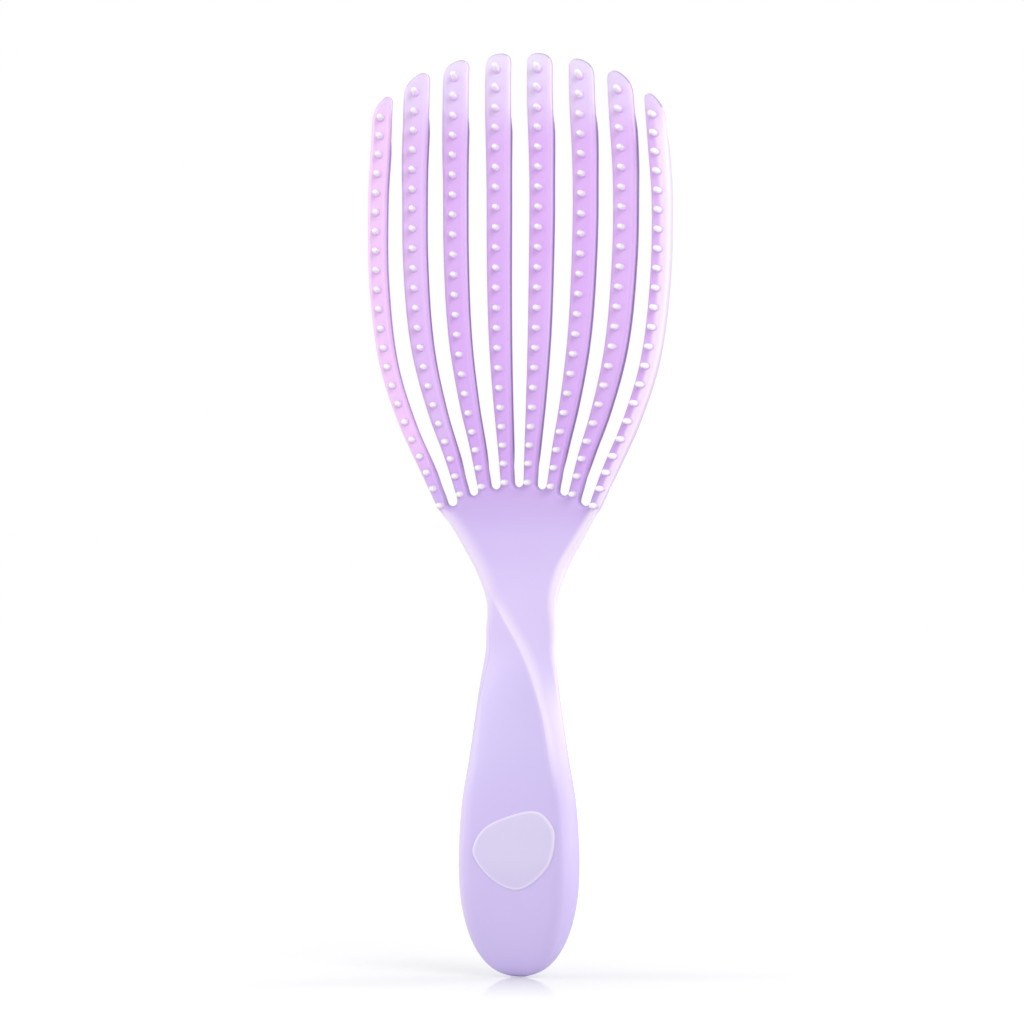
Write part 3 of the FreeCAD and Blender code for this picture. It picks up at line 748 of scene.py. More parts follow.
beyond = value_of(moulding, "row") > CUT_ROW - CUT_NEAR
edit(moulding, "FACE")
faces = moulding.data.polygons
faces.foreach_set("select", [all(beyond[list(face.vertices)]) for face in faces])
bpy.ops.object.mode_set(mode="EDIT")
bpy.ops.mesh.separate(type="SELECTED")
bpy.ops.object.mode_set(mode="OBJECT")
limbs = [obj for obj in bpy.context.selected_objects if obj is not moulding][0]
only(limbs)
bpy.ops.mesh.separate(type="LOOSE")
fingers = {}
for obj in bpy.context.selected_objects:
    number = int(value_of(obj, "column").mean() // PERIOD) + 1
    obj.name = obj.data.name = "limb_%d" % number
    fingers[number] = obj
for obj in (moulding, *fingers.values()):
    close_ends(obj)
moulding.name = moulding.data.name = "palm_and_handle"
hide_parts("handle_front", "handle_rear")
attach(moulding, "handle")
print("palm and handle", len(moulding.data.polygons), "faces; a finger", len(fingers[4].data.polygons))

# %% [markdown]
# ## Painted light and shade
# The colours paint light and shade: painted light along thin edges and on the outer fingers, a
# painted highlight beside the ridge, and painted shade on the walls inside the slots. Lamps alone
# don't show this in solid plastic, so each vertex keeps a share, above 0 for painted light and below
# 0 for painted shade, that the materials read. The palm's shares run over smoothly into those of the
# fingers.

# %% Shares of the palm and handle
# painted light: strengths and widths on the handle and palm, and heights between which bands come and go
ON_PALM = (92, 100)
LEFT_PAINTED_LIGHT, LEFT_BAND, LEFT_COMES = (0.62, 0.75), (3.0, 5.0), (0, 25)
RIGHT_PAINTED_LIGHT, RIGHT_BAND, RIGHT_COMES = 1.0, (2.7, 0.7), (62, 90)
RIDGE_PAINTED_HIGHLIGHT, RIDGE_BAND, RIDGE_COMES, RIDGE_GOES = 0.75, 3.8, (45, 65), (104, 92)
FACET_PAINTED_LIGHT, FACET_COMES, FACET_GOES = 0.45, (45, 70), (84, 70)
CREST_PAINTED_HIGHLIGHT, CREST_LAYER, CREST_SPREAD = 0.8, 0.9, 0.5
FACE_LAYER, LEFT_COLUMN, PALM_TOP = 0.8, 0.3, 128.0


def keep_painted_light(obj, values):
    """Store how much painted light (above 0) or painted shade (below 0) a piece takes, vertex by vertex."""
    attribute = obj.data.attributes.new("painted_light", "FLOAT", "POINT")
    attribute.data.foreach_set("value", values.astype(np.float32))


def palm_painted_light(x, z, column, layer):
    """How much painted light the palm and handle take: along both sides, on the facet and beside the ridge.
    """
    heights = np.arange(0.0, PALM_TOP + 1.0)
    corners = np.array([section_at(h).corners for h in heights])
    left = np.interp(z, heights, corners[:, :, 0].min(axis=1))
    right = np.interp(z, heights, corners[:, :, 0].max(axis=1))
    ridge = np.interp(z, heights, corners[:, 0, 0])
    front = layer < FACE_LAYER
    on_palm = fade(z, *ON_PALM)
    near_left = fade(x - left, between(*LEFT_BAND, on_palm), 0.0)
    left_side = between(*LEFT_PAINTED_LIGHT, on_palm) * near_left * fade(z, *LEFT_COMES)
    right_side = RIGHT_PAINTED_LIGHT * fade(right - x, *RIGHT_BAND) * fade(z, *RIGHT_COMES)
    along_ridge = fade(z, *RIDGE_COMES) * fade(z, *RIDGE_GOES)
    # painted highlight beside the ridge and along its crest, painted light on the facet and both sides
    beside_ridge = RIDGE_PAINTED_HIGHLIGHT * front * fade(x - ridge, RIDGE_BAND, 0.0) * along_ridge
    facet = FACET_PAINTED_LIGHT * front * fade(z, *FACET_GOES) * fade(z, *FACET_COMES)
    on_crest = (column < LEFT_COLUMN) * np.exp(-((layer - CREST_LAYER) / CREST_SPREAD) ** 2)
    crest = CREST_PAINTED_HIGHLIGHT * on_crest * along_ridge
    return np.maximum.reduce([left_side, right_side, beside_ridge, facet, crest])


print("shares for the palm and handle ready")

# %% [markdown]
# ## Painted light on the fingers
# The outer fingers and the front rounds take painted light, and the walls in the slots and the tops
# of the tips take painted shade. The tips pale by their own colour, so the painted light goes down
# again there.

# %% Shares of the fingers
ROOT_COMES = (4, 20)
ROUND_PAINTED_LIGHT, ROUND_LAYER, ROUND_OVER = 0.16, 0.3, 2.2
PAINTED_LIGHT_FINGERS, PALE_TIP, PALE_GOES = {1: 0.8, 2: 0.2, 7: 0.06}, 0.3, (229, 220)
LAST_PAINTED_LIGHT, LAST_TIP, LAST_GOES = 0.88, 0.15, (227, 217)  # the finger on the right
LAST_INNER, LAST_COMES, LAST_SOFT = (0.42, 0.3), (121, 151), 0.45  # its inner part stays as it is
PAINTED_SHADE_DEPTH, WALL_COMES, WALL_GOES = 0.85, (2.6, 4.0), (7.8, 6.6)
LAST_WALL, LEFT_WALL, TOP_WALL, TOP_COMES = 0.3, 0.55, 0.9, (1.8, 3.4)
EDGE_NEAR, TOP_NEAR, BLOCK_NEAR = 0.02, 0.3, 0.01


def finger_painted_light(number, share, row, layer, z):
    """Painted light (above 0) or painted shade (below 0) on a finger; share runs from the viewer's left."""
    above_root = fade(z - FINGERS[number - 1].root_z, *ROOT_COMES)
    # painted light on the front round, on the right finger's outer part and on the paler fingers
    pale = ROUND_PAINTED_LIGHT * np.clip((layer - ROUND_LAYER) / ROUND_OVER, 0, 1) * above_root
    if number == 8:
        inner_part = between(*LAST_INNER, fade(z, *LAST_COMES))
        below_tip = between(LAST_TIP, 1.0, fade(z, *LAST_GOES))
        pale = np.maximum(pale, LAST_PAINTED_LIGHT * fade(share - inner_part, 0.0, LAST_SOFT) * below_tip)
    if number in PAINTED_LIGHT_FINGERS:
        below_tip = between(PALE_TIP, 1.0, fade(z, *PALE_GOES))
        pale = np.maximum(pale, PAINTED_LIGHT_FINGERS[number] * above_root * below_tip)
    # painted shade on the slot walls and along the top of the tip
    before_back = fade(layer, *WALL_GOES)
    wall = fade(layer, *WALL_COMES) * before_back
    right = (share > 1 - EDGE_NEAR) * wall * (LAST_WALL if number == 8 else 1.0)
    left = (share < EDGE_NEAR) * wall * LEFT_WALL
    top = (row > ROWS - TOP_NEAR) * fade(layer, *TOP_COMES) * before_back * TOP_WALL
    painted_shade = np.maximum.reduce([right, left, top])
    return pale * (1 - painted_shade) - PAINTED_SHADE_DEPTH * painted_shade


# each vertex's share of painted light and painted shade, the palm's running into the fingers'
for obj in (moulding, *fingers.values()):
    column, row, layer = (value_of(obj, name) for name in BLANK_AXES)
    x, _, z = points_of(obj).T / MM
    tint = palm_painted_light(x, z, column, layer)
    on_fingers = fade(row, PALM_STEPS - 2, PALM_STEPS)
    for finger in FINGERS:
        share = (column - (finger.number - 1) * PERIOD) / ACROSS
        end = 1 + BLOCK_NEAR + (SLOT / ACROSS if finger.number < 8 else 0.0)
        values = finger_painted_light(finger.number, np.clip(share, 0, 1), row, layer, z)
        own = (share > -BLOCK_NEAR) & (share < end)
        tint = np.where(own, between(tint, values, on_fingers), tint)
    for name in BLANK_AXES:
        obj.data.attributes.remove(obj.data.attributes[name])
    keep_painted_light(obj, tint)
    print(obj.name, "shares from", round(float(tint.min()), 2), "to", round(float(tint.max()), 2))

# %% [markdown]
# ## Back strips
# Behind each finger a slim strip covers the heads of the pegs and stiffens the finger. It starts at
# the root and stops short of the tip, where it slopes away. It is a hair wider than the finger, apart
# from the outer edge of the two outer fingers. A short blank is thickened and formed with the same
# finger lines, because a strip cut from a box would not follow them.

# %% Make the back strips
STRIP_COLUMNS, STRIP_ROWS, STRIP_LAYERS = 4, 48, 5
STRIP_FOOT, STRIP_TOP, OUTER_STRIP_DROP = 2.0, 225.5, 5.5
STRIP_SPARE = (-0.35, 0.14, 0.14, -0.3)  # how much wider than the finger, from foot to top
SPARE_RISE, SPARE_FALL = 9.0, 7.0  # heights over which the width comes and goes
BACK_RISE, BACK_FALL = 7.0, 6.5  # the same for the back
STRIP_SUNK, FOOT_EASED = 0.3, 0.4  # depth of its front in the finger, and ease of its back at the foot
STRIP_LEVELS = (0.0, 0.35, 0.65, 0.85, 0.97, 1.0)
STRIP_EASE = (0.0, 0.0, 0.0, 0.04, 0.16, 0.5)
SIDE_PAINTED_SHADE, FIRST_SIDE_PAINTED_SHADE, LAST_SIDE_PAINTED_LIGHT = -1.0, -0.45, 0.9
STRIP_CREASE = math.radians(40)
strips = {}
for finger in FINGERS:
    number = finger.number
    strip = add_grid("strip_%d" % number, STRIP_COLUMNS, STRIP_ROWS)
    thicken(strip, STRIP_LAYERS)
    foot = finger.root_z + STRIP_FOOT
    top = STRIP_TOP - (OUTER_STRIP_DROP if finger.outermost else 0.0)
    heights = np.linspace(foot, top, STRIP_ROWS + 1)
    spares = smooth_line((foot, foot + SPARE_RISE, top - SPARE_FALL, top), STRIP_SPARE, heights)
    strip_depths = (DEPTH - FOOT_EASED, DEPTH, DEPTH, BEAM)
    backs = smooth_line((foot, foot + BACK_RISE, top - BACK_FALL, top), strip_depths, heights)
    blank = points_of(strip)
    formed = []
    for column, row, layer in np.rint(blank).astype(int):
        z, spare = heights[row], spares[row] - STRIP_EASE[layer]
        low, high = finger.edges_at(z)
        outer_spare = min(spare, 0.0) if finger.outermost else spare
        x = between(low - spare, high + outer_spare, column / STRIP_COLUMNS)
        front = finger_depth(z, finger.root_z) - STRIP_SUNK
        formed.append(finger.set_in_head(x, z, between(front, backs[row], STRIP_LEVELS[layer])))
    # painted shade on the strips' sides, and painted light on the outer side of the right finger's strip
    tint = np.full(len(blank), FIRST_SIDE_PAINTED_SHADE if number == 1 else SIDE_PAINTED_SHADE)
    if number == 8:
        tint[blank[:, 0] > STRIP_COLUMNS - 1.5] = LAST_SIDE_PAINTED_LIGHT
    keep_painted_light(strip, tint * (blank[:, 2] < STRIP_LAYERS - 0.5))
    set_points(strip, np.array(formed) * MM)
    face_out(strip)
    only(strip)
    bpy.ops.object.shade_smooth_by_angle(angle=STRIP_CREASE)
    strips[number] = strip
print(len(strips), "strips,", len(strips[1].data.polygons), "faces each")

# %% [markdown]
# ## Pegs
# The pegs are short, blunt and slightly tapered, with a small flare where they leave the finger. A
# lathe-like spin would do, but extruding a disc ring by ring and narrowing it shows each step. Each
# vertex remembers how far up the peg it is, so the material can tint the root.

# %% Model one peg
PEG_SIDES, PEG_FOOT, PEG_SUNK = 12, 1.3, 0.25
PEG_RINGS = ((0.25, 1.02), (0.5, 0.88), (1.1, 0.80), (4.3, 0.72), (4.9, 0.61), (5.15, 0.38))
PEG_DOME, PEG_TINTED = 0.08, 4.7
bpy.ops.object.select_all(action="DESELECT")
bpy.ops.mesh.primitive_circle_add(vertices=PEG_SIDES, radius=PEG_FOOT, fill_type="NGON")
peg = bpy.context.object
peg.name = "peg"
pick_all(peg)
height, radius = 0.0, PEG_FOOT
for level, wide in PEG_RINGS:
    bpy.ops.mesh.extrude_region_move(TRANSFORM_OT_translate={"value": (0, 0, level - height)})
    bpy.ops.transform.resize(value=(wide / radius, wide / radius, 1))
    height, radius = level, wide
bpy.ops.mesh.poke(offset=PEG_DOME)
bpy.ops.object.mode_set(mode="OBJECT")
set_points(peg, points_of(peg) - np.array([0, 0, PEG_SUNK]))
up = peg.data.attributes.new("up", "FLOAT", "POINT")
up.data.foreach_set("value", np.clip(points_of(peg)[:, 2] / PEG_TINTED, 0, 1).astype(np.float32))
face_out(peg)
only(peg)
bpy.ops.object.shade_smooth()
print("one peg has", len(peg.data.polygons), "faces")

# %% [markdown]
# ## Rows of pegs
# Each finger carries a row of pegs, evenly spaced up its middle, square to the curved face. An array
# along a curve would turn them with the curve, so each copy is placed and turned by itself. Then the
# row is joined into one piece.

# %% Stand the pegs in rows
PEGS = 22
ROOT_GAP, TIP_GAP = 1.5, 3.5
LOWER_AT = (0, 1, 3, 7, 14, 19, 21)  # pegs of a row, counted from the root
LOWER_BY = (0.15, 0.4, 1.2, 1.4, 1.0, 0.85, 1.1)  # how far they sit below even spacing
LINE_STEPS = 400


def peg_spots(finger):
    """Distances from the axis and heights of a finger's pegs along its middle line."""
    heights = np.linspace(finger.root_z, finger.tip_z, LINE_STEPS)
    middles = np.array([sum(finger.edges_at(z)) / 2 for z in heights])
    lengths = np.concatenate([[0], np.cumsum(np.hypot(np.diff(heights), np.diff(middles)))])
    wanted = np.linspace(ROOT_GAP, lengths[-1] - TIP_GAP, PEGS)
    wanted -= smooth_line(LOWER_AT, LOWER_BY, np.arange(PEGS))
    return np.interp(wanted, lengths, middles), np.interp(wanted, lengths, heights)


rows_of_pegs = {}
for finger in FINGERS:
    made = []
    for x, z in zip(*peg_spots(finger)):
        at = Vector(finger.set_in_head(x, z, 0.0))
        deeper = Vector(finger.set_in_head(x, z, 1.0))
        out = (at - deeper).normalized() + Vector((0, 0, math.tan(profile(z)[1])))
        copy = bpy.data.objects.new("peg_copy", peg.data.copy())
        bpy.context.scene.collection.objects.link(copy)
        copy.data.transform(Matrix.Translation(at) @ out.to_track_quat("Z", "X").to_matrix().to_4x4())
        copy.data.transform(Matrix.Scale(MM, 4))
        made.append(copy)
    only(made[0])
    for copy in made:
        copy.select_set(True)
    bpy.ops.object.join()
    made[0].name = made[0].data.name = "pegs_%d" % finger.number
    rows_of_pegs[finger.number] = made[0]
bpy.data.objects.remove(peg)
print(len(rows_of_pegs), "rows of", PEGS, "pegs")

# %% [markdown]
# ## The fingers' solids
# A finger is held by the palm at its root and bends back as hair pulls on it. Here the middle of
# the ring where each finger was cut off, a point 45 mm above it and a start just above the cut are
# worked out, the imported finger, strip and pin parts are hidden, and the finger, strip and pegs keep
# their places baked into their meshes.

# %% Work out each finger's cut ring and hide its solids
BENDING = 45.0
CUT_SPARE = 0.3  # a start this far above the cut
for finger in FINGERS:
    number = finger.number
    first = (number - 1) * PERIOD
    ring = MM * np.array([
        finger.set_in_head(*flat_front(first + step, CUT_ROW)[1:], deep)
        for step in range(ACROSS + 1) for deep in (0.0, DEPTH)
    ])
    end_z = ring[:, 2].max() / MM + BENDING
    end = MM * np.array(finger.set_in_head(sum(finger.edges_at(end_z)) / 2, end_z, DEPTH / 2))
    middle = ring.mean(axis=0)
    along = (end - middle) / np.linalg.norm(end - middle)
    start = middle + along * (((ring - middle) @ along).max() + CUT_SPARE * MM)
    for obj, node, slot in (
        (fingers[number], "finger_%d", "finger"),
        (strips[number], "back_strip_%d", "finger"),
        (rows_of_pegs[number], "pins_%d", "peg"),
    ):
        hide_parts(node % number)
        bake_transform(obj)

# %% [markdown]
# ## Badge
# A thin pebble-shaped plate is let into the broad face of the handle, close to the ridge. Its face is
# left bare. A flat plate would stand off the curved face, so it starts as a disc whose rim is drawn to
# the pebble's outline, is thickened and rounded over at the edge, and is then laid on the face.

# %% Model the badge
PEBBLE = (
    (0.28, 0.50), (0.44, 0.37), (0.50, 0.15), (0.41, -0.22), (0.10, -0.50),
    (-0.20, -0.42), (-0.43, -0.18), (-0.49, 0.02), (-0.34, 0.28), (0.0, 0.45),
)
BADGE_SIZE = (23.2, 20.2)
PEBBLE_START = 0.125  # share of a turn at which the outline starts
RIM_POINTS = 72
BADGE_RINGS = (  # how much each ring narrows the last, and how far it rises
    (1.0, 0.8), (0.99, 0.1), (0.98, 0.05), (0.95, 0.02), (0.8, 0), (0.75, 0), (0.66, 0), (0.5, 0),
)
BADGE_RIM_PAINTED_HIGHLIGHT, RIM_COMES, RIM_GOES = 0.8, (0.6, 0.8), (0.965, 0.945)


def pebble_point(turn):
    """Point on the pebble's closed outline, as shares of its size."""
    spot = turn * len(PEBBLE)
    i = math.floor(spot)
    before, a, b, after = (np.array(PEBBLE[(i + k) % len(PEBBLE)]) for k in (-1, 0, 1, 2))
    return curve_between(a, b, (b - before) / 2, (after - a) / 2, spot - i)


bpy.ops.object.select_all(action="DESELECT")
bpy.ops.mesh.primitive_circle_add(vertices=RIM_POINTS, radius=1.0, fill_type="NGON")
badge = bpy.context.object
badge.name = badge.data.name = "badge_plate"
turns = [math.atan2(y, x) / (2 * math.pi) for x, y, _ in points_of(badge)]
set_points(badge, [[*(pebble_point(PEBBLE_START - turn) * BADGE_SIZE), 0.0] for turn in turns])
pick_all(badge)
for narrower, rise in BADGE_RINGS:
    bpy.ops.mesh.extrude_region_move(TRANSFORM_OT_translate={"value": (0, 0, rise)})
    bpy.ops.transform.resize(value=(narrower, narrower, 1))
bpy.ops.mesh.poke()
bpy.ops.object.mode_set(mode="OBJECT")
heights = points_of(badge)[:, 2]
# painted highlight along the badge's rim
keep_painted_light(badge, BADGE_RIM_PAINTED_HIGHLIGHT * fade(heights, *RIM_COMES) * fade(heights, *RIM_GOES))
print("badge is", round(float(heights.max()), 2), "mm thick")

# %% [markdown]
# ## Letting the badge in
# The handle's face is curved both ways. A shrinkwrap would pull the rounded rim flat, so each point
# goes to the face at its own height and keeps its distance from it.

# %% Lay the badge on the handle
BADGE_Z, BADGE_SHIFT, BADGE_SUNK = 33.1, 1.8, 0.72
BADGE_CREASE = math.radians(50)
laid = []
for along, up, proud in points_of(badge):
    section = Section(BADGE_Z + up)
    left, ridge = section.corners[3], section.corners[0]
    width = np.linalg.norm(ridge - left)
    outward = -left_of(ridge - left)
    spot = section.side(3, 0.5 + (along + BADGE_SHIFT) / width) + outward * (proud - BADGE_SUNK)
    laid.append((*spot, BADGE_Z + up))
set_points(badge, np.array(laid) * MM)
face_out(badge)
only(badge)
bpy.ops.object.shade_smooth_by_angle(angle=BADGE_CREASE)
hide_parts("badge")
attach(badge, "handle")
print("badge stands", round(max(-v.co.y for v in badge.data.vertices) / MM, 2), "mm forward")

# %% [markdown]
# ## Nodes
# Materials, floor and room are all built from a few kinds of shader node. Small helpers add a node
# with its values, so that each finish below reads as a list of what it does.


# %% Helpers for shader nodes
def seen(red, green, blue):
    """Linear colour of one written as seen, 0 to 255."""
    def linear(value):
        value = value / 255
        return value / 12.92 if value <= 0.04045 else ((value + 0.055) / 1.055) ** 2.4
    return linear(red), linear(green), linear(blue), 1.0


def add_node(tree, kind, values=(), **settings):
    """New shader node with its settings, and values for its inputs by name."""
    node = tree.nodes.new("ShaderNode" + kind)
    for name, value in settings.items():
        setattr(node, name, value)
    for name, value in dict(values).items():
        node.inputs[name].default_value = value
    return node


def remap(tree, value, span, result):
    """Output that runs over a span of results as a value runs over its own span."""
    ends = {"From Min": span[0], "From Max": span[1], "To Min": result[0], "To Max": result[1]}
    node = add_node(tree, "MapRange", ends)
    tree.links.new(value, node.inputs["Value"])
    return node.outputs["Result"]


def work_out(tree, operation, first, second=0.0):
    """Output of a sum on one output and a second output or number."""
    node = add_node(tree, "Math", operation=operation)
    tree.links.new(first, node.inputs[0])
    if isinstance(second, float):
        node.inputs[1].default_value = second
    else:
        tree.links.new(second, node.inputs[1])
    return node.outputs["Value"]


def mix_in(tree, colour, other, share):
    """Colour mixed towards another, written as seen, by a share."""
    node = add_node(tree, "Mix", data_type="RGBA")
    node.inputs["B"].default_value = seen(*other)
    tree.links.new(share, node.inputs["Factor"])
    tree.links.new(colour, node.inputs["A"])
    return node.outputs["Result"]


def place_on(tree):
    """Object coordinates, split into X, Y and Z."""
    parts = add_node(tree, "SeparateXYZ")
    tree.links.new(add_node(tree, "TexCoord").outputs["Object"], parts.inputs["Vector"])
    return parts.outputs


print("helpers for shader nodes ready")

# %% [markdown]
# ## Grain and parting line
# Moulded plastic is faintly mottled and has a fine satin grain, and the handle's two halves meet in a
# thin line round the edge. Both effects are groups of nodes, built once: the grain goes into every
# plastic, and the line only into the shell's. The line could be a groove in the mesh, but the halves
# meet flush, so a line of colour is enough.

# %% Make the two groups
NOISE_SPAN = (0.3, 0.7)  # where most values of a noise lie
MOTTLES = {"Scale": 45.0, "Detail": 3.0}
GRAINS = {"Scale": 2600.0, "Detail": 2.0}
ROUGHNESS = (0.40, 0.50)
LINE_HALF = (0.00006, 0.00016)  # metres from the parting plane: full strength, then none
LINE_STRENGTH, LINE_TOP = 0.3, 0.118


def new_group(name, outputs):
    """Empty group of nodes and its output node."""
    group = bpy.data.node_groups.new(name, "ShaderNodeTree")
    for output in outputs:
        group.interface.new_socket(output, in_out="OUTPUT", socket_type="NodeSocketFloat")
    return group, group.nodes.new("NodeGroupOutput")


def moulded_grain():
    """Group of nodes giving mottling (0 to 1), roughness and the height of a fine grain."""
    group, out = new_group("moulded_grain", ("Mottling", "Roughness", "Height"))
    place = add_node(group, "TexCoord").outputs["Object"]
    clouds = add_node(group, "TexNoise", MOTTLES)
    grain = add_node(group, "TexNoise", GRAINS)
    for noise, output in ((clouds, "Mottling"), (grain, "Height")):
        group.links.new(place, noise.inputs["Vector"])
        group.links.new(noise.outputs["Fac"], out.inputs[output])
    rough = remap(group, clouds.outputs["Fac"], NOISE_SPAN, ROUGHNESS)
    group.links.new(rough, out.inputs["Roughness"])
    return group


def parting_line():
    """Group of nodes marking the fine line where the handle's two halves meet, below the fingers."""
    group, out = new_group("parting_line", ("Line",))
    place = place_on(group)
    thin = remap(group, work_out(group, "ABSOLUTE", place["Y"]), LINE_HALF, (LINE_STRENGTH, 0.0))
    below = work_out(group, "LESS_THAN", place["Z"], LINE_TOP)
    group.links.new(work_out(group, "MULTIPLY", thin, below), out.inputs["Line"])
    return group


grain_group = moulded_grain()
seam_group = parting_line()
print("groups:", grain_group.name, "and", seam_group.name)

# %% [markdown]
# ## Plastic
# The brush is moulded in soft satin plastic that is bluish lilac in the handle and warmer violet in
# the thin fingers, partly painted light for the light that comes through them, and it pales towards
# the tips. A darker step in the run where the slots end is painted shade. One material with a picture
# could show this, but colours that run along the height need no picture. Colours are written as they
# are seen and turned to linear values.

# %% Recipe for the plastics
PLASTIC_IOR = 1.46
GRAIN_HEIGHT = 0.0001
SEAM_COLOUR = (176, 156, 212)


def colour_run(tree, along, stops):
    """Colour that eases from stop to stop as a value runs along them."""
    first, last = stops[0][0], stops[-1][0]
    node = add_node(tree, "ValToRGB")
    ramp = node.color_ramp
    ramp.interpolation = "EASE"
    while len(ramp.elements) < len(stops):
        ramp.elements.new(0.5)
    for element, (at, colour) in zip(ramp.elements, stops):
        element.position = (at - first) / (last - first)
        element.color = seen(*colour)
    tree.links.new(remap(tree, along, (first, last), (0.0, 1.0)), node.inputs["Fac"])
    return node.outputs["Color"]


def plastic(name, stops, source="height", painted_light=None, painted_shade=None, seam=False, mottle=0.06, bump=0.04):
    """Satin plastic whose colour runs through stops along its height in metres or an attribute."""
    material = bpy.data.materials.new(name)
    material.use_nodes = True
    tree = material.node_tree
    if source == "height":
        along = place_on(tree)["Z"]
    else:
        along = add_node(tree, "Attribute", attribute_name=source).outputs["Fac"]
    colour = colour_run(tree, along, stops)
    # painted light and painted shade, mixed in by each vertex's share
    if painted_light:
        share = add_node(tree, "Attribute", attribute_name="painted_light").outputs["Fac"]
        colour = mix_in(tree, colour, painted_light, share)
        if painted_shade:
            colour = mix_in(tree, colour, painted_shade, work_out(tree, "MULTIPLY", share, -1.0))
    if seam:
        line = add_node(tree, "Group", node_tree=seam_group).outputs["Line"]
        colour = mix_in(tree, colour, SEAM_COLOUR, line)
    grain = add_node(tree, "Group", node_tree=grain_group).outputs
    vary = remap(tree, grain["Mottling"], NOISE_SPAN, (1.0 - mottle / 2, 1.0 + mottle / 2))
    tone = add_node(tree, "HueSaturation")
    bumped = add_node(tree, "Bump", {"Strength": bump, "Distance": GRAIN_HEIGHT})
    shader = tree.nodes["Principled BSDF"]
    shader.inputs["IOR"].default_value = PLASTIC_IOR
    for output, socket in (
        (vary, tone.inputs["Saturation"]),
        (colour, tone.inputs["Color"]),
        (tone.outputs["Color"], shader.inputs["Base Color"]),
        (grain["Roughness"], shader.inputs["Roughness"]),
        (grain["Height"], bumped.inputs["Height"]),
        (bumped.outputs["Normal"], shader.inputs["Normal"]),
    ):
        tree.links.new(output, socket)
    return material


print("recipe ready, with", len(grain_group.nodes), "nodes in its grain")

# %% [markdown]
# ## Six plastics
# Shell and fingers share one run of colours, so that no step shows where they meet. The left outer
# finger takes a pinker painted light. Strips take painted shade on their sides, pegs are white with a
# violet root, and the badge is a paler, greyer lilac with a painted highlight on its rim.

# %% Make the plastics and give them out
# the darker stops at 0.112 and 0.120 m are painted shade along the slot ends
BODY_COLOURS = (
    (0.000, (205, 190, 238)), (0.030, (207, 191, 239)), (0.070, (211, 197, 243)), (0.096, (222, 205, 249)),
    (0.112, (216, 197, 246)), (0.120, (211, 187, 242)), (0.134, (220, 180, 245)), (0.180, (226, 184, 247)),
    (0.215, (228, 187, 247)), (0.230, (234, 213, 250)), (0.240, (240, 226, 252)),
)
STRIP_COLOURS = ((0.116, (208, 174, 240)), (0.180, (212, 178, 242)), (0.226, (214, 182, 243)))
PEG_COLOURS = (
    (0.0, (226, 190, 244)), (0.18, (236, 214, 248)), (0.45, (250, 244, 251)), (1.0, (254, 251, 252)),
)
BADGE_COLOURS = ((0.022, (211, 201, 236)), (0.033, (216, 206, 239)), (0.044, (218, 209, 240)))
# colours of the painted light and painted shade
SHELL_PAINTED_LIGHT, FINGER_PAINTED_LIGHT, PINK_PAINTED_LIGHT = (248, 235, 253), (252, 236, 253), (250, 212, 251)
STRIP_PAINTED_LIGHT, BADGE_PAINTED_HIGHLIGHT = (214, 204, 220), (238, 230, 250)
WALL_PAINTED_SHADE, STRIP_PAINTED_SHADE = (146, 118, 168), (150, 116, 182)
shell_plastic = plastic("lilac_shell", BODY_COLOURS, painted_light=SHELL_PAINTED_LIGHT, painted_shade=WALL_PAINTED_SHADE, seam=True)
finger_plastic = plastic("violet_fingers", BODY_COLOURS, painted_light=FINGER_PAINTED_LIGHT, painted_shade=WALL_PAINTED_SHADE)
pink_lit_plastic = plastic("outer_finger_pink_painted_light", BODY_COLOURS, painted_light=PINK_PAINTED_LIGHT, painted_shade=WALL_PAINTED_SHADE)
strip_plastic = plastic("violet_strips", STRIP_COLOURS, painted_light=STRIP_PAINTED_LIGHT, painted_shade=STRIP_PAINTED_SHADE)
peg_plastic = plastic("white_pegs", PEG_COLOURS, "up", mottle=0.2, bump=0.02)
badge_plastic = plastic("badge_face", BADGE_COLOURS, painted_light=BADGE_PAINTED_HIGHLIGHT, mottle=0.08, bump=0.02)

for obj, material in (
    [(moulding, shell_plastic), (badge, badge_plastic)]
    + [(obj, pink_lit_plastic if number == 1 else finger_plastic) for number, obj in fingers.items()]
    + [(obj, strip_plastic) for obj in strips.values()]
    + [(obj, peg_plastic) for obj in rows_of_pegs.values()]
):
    obj.data.materials.clear()
    obj.data.materials.append(material)
print(len(bpy.data.materials), "materials")

# %% [markdown]
# ## Floor
# The brush stands on glossy white paper that mirrors its foot and fades to plain white. A real sheet
# would need a wide bright room to look this white, so the floor glows a little for the camera, and
# only the paper close to the foot is glossy.

# %% Lay the floor
FLOOR_SIZE, FLOOR_DROP = 8.0, 0.0002
PAPER_WHITE = (0.8, 0.8, 0.81, 1)
GLOW_SPAN, GLOW = (0.1, 1.2), (0.3, 0.6)  # distances from the foot in metres, and the glow there
MIRROR_SPAN, MIRROR = (0.012, 0.075), (0.42, 0.0)
MIRROR_ROUGH = 0.06


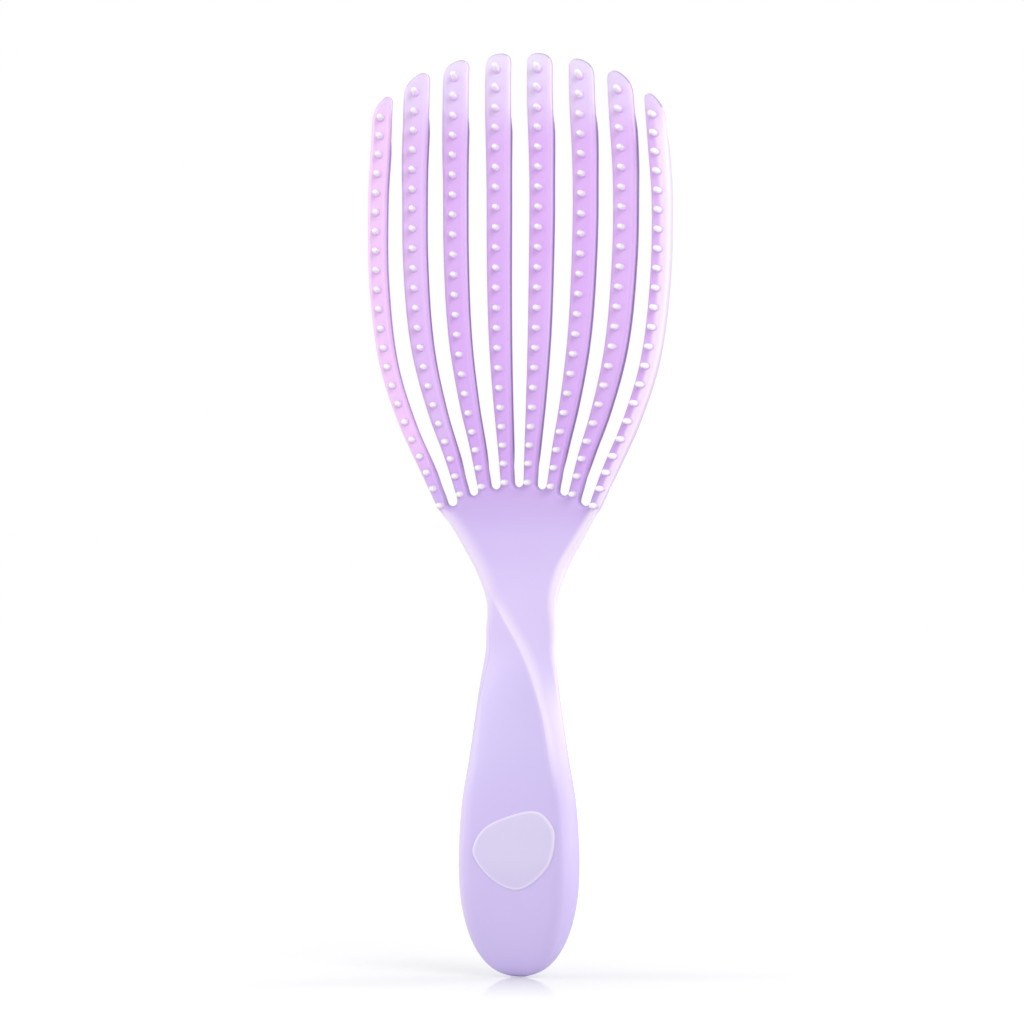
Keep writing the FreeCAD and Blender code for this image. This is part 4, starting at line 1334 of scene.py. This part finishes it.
def white_paper():
    material = bpy.data.materials.new("white_paper")
    material.use_nodes = True
    tree = material.node_tree
    tree.nodes.clear()
    out = add_node(tree, "OutputMaterial")
    far = add_node(tree, "VectorMath", operation="LENGTH")
    tree.links.new(add_node(tree, "TexCoord").outputs["Object"], far.inputs[0])
    to_camera = add_node(tree, "LightPath").outputs["Is Camera Ray"]
    level = work_out(tree, "MULTIPLY", to_camera, remap(tree, far.outputs["Value"], GLOW_SPAN, GLOW))
    glow = add_node(tree, "Emission")
    matte = add_node(tree, "BsdfDiffuse", {"Color": PAPER_WHITE})
    lit = add_node(tree, "AddShader")
    gloss = add_node(tree, "BsdfGlossy", {"Roughness": MIRROR_ROUGH})
    surface = add_node(tree, "MixShader")
    for output, socket in (
        (level, glow.inputs["Strength"]),
        (matte.outputs["BSDF"], lit.inputs[0]),
        (glow.outputs["Emission"], lit.inputs[1]),
        (remap(tree, far.outputs["Value"], MIRROR_SPAN, MIRROR), surface.inputs["Fac"]),
        (lit.outputs["Shader"], surface.inputs[1]),
        (gloss.outputs["BSDF"], surface.inputs[2]),
        (surface.outputs["Shader"], out.inputs["Surface"]),
    ):
        tree.links.new(output, socket)
    return material


bpy.ops.object.select_all(action="DESELECT")
bpy.ops.mesh.primitive_plane_add(size=FLOOR_SIZE, location=(0, 0, 0))
floor = bpy.context.object
floor.name = floor.data.name = "floor"
floor.data.transform(Matrix.Translation((0, 0, -FLOOR_DROP)))
floor.data.materials.append(white_paper())
print("floor is", FLOOR_SIZE, "m wide")

# %% [markdown]
# ## Room and lamps
# The room is white all round, a little dimmer as a light than it looks to the camera and in mirrors,
# so the brush keeps its shading. A large soft lamp stands at the upper right in front, and weaker
# ones stand behind on the right and at the left.

# %% Light the room
ROOM_LIGHT = 0.61
LAMP_AIM = Vector((0, 0, 0.12))
LAMPS = (  # name, place and width in metres, power in watts
    ("key_lamp", (1.2, -1.5, 1.1), 1.6, 18.0),
    ("side_lamp", (1.5, 1.0, 0.4), 1.0, 12.0),
    ("fill_lamp", (-1.7, -0.3, 0.4), 1.0, 12.0),
)
room = bpy.data.worlds.new("white_room")
room.use_nodes = True
tree = room.node_tree
rays = add_node(tree, "LightPath").outputs
seen_white = work_out(tree, "MAXIMUM", rays["Is Camera Ray"], rays["Is Glossy Ray"])
sky = tree.nodes["Background"]
sky.inputs["Color"].default_value = (1, 1, 1, 1)
tree.links.new(remap(tree, seen_white, (0.0, 1.0), (ROOM_LIGHT, 1.0)), sky.inputs["Strength"])
bpy.context.scene.world = room


def soft_lamp(name, place, size, power):
    lamp = bpy.data.lights.new(name, "AREA")
    lamp.shape = "DISK"
    lamp.size = size
    lamp.energy = power
    holder = bpy.data.objects.new(name, lamp)
    bpy.context.scene.collection.objects.link(holder)
    holder.location = place
    holder.rotation_euler = (LAMP_AIM - Vector(place)).to_track_quat("-Z", "Y").to_euler()
    return holder


key, side, fill = (soft_lamp(*lamp) for lamp in LAMPS)
print("lamps of", [lamp.data.energy for lamp in (key, side, fill)], "W")

# %% [markdown]
# ## Camera
# The camera looks level from the front, ten degrees to the right. A short lens close by would make
# the nearer pegs look larger, so a long lens looks from farther away.

# %% Set up the camera
VIEW_TURN = math.radians(10.0)
VIEW_DISTANCE, VIEW_SHIFT, VIEW_HEIGHT = 1.476, -0.0018, 0.1204
FOCAL_LENGTH = 200
back = Vector((math.sin(VIEW_TURN), -math.cos(VIEW_TURN), 0))
right = Vector((math.cos(VIEW_TURN), math.sin(VIEW_TURN), 0))
lens = bpy.data.cameras.new("camera")
lens.lens = FOCAL_LENGTH
eye = bpy.data.objects.new("camera", lens)
bpy.context.scene.collection.objects.link(eye)
eye.location = back * VIEW_DISTANCE + right * VIEW_SHIFT + Vector((0, 0, VIEW_HEIGHT))
eye.rotation_euler = (-back).to_track_quat("-Z", "Y").to_euler()
bpy.context.scene.camera = eye
bpy.context.scene.view_settings.view_transform = "Standard"
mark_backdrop(floor, key, side, fill)
print("camera stands", VIEW_DISTANCE, "m away")

# %% [markdown]
# ## Size
# The finished model's box is printed.

# %% Finish
low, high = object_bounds()
print("model spans", [round((b - a) / MM, 2) for a, b in zip(low, high)], "mm")
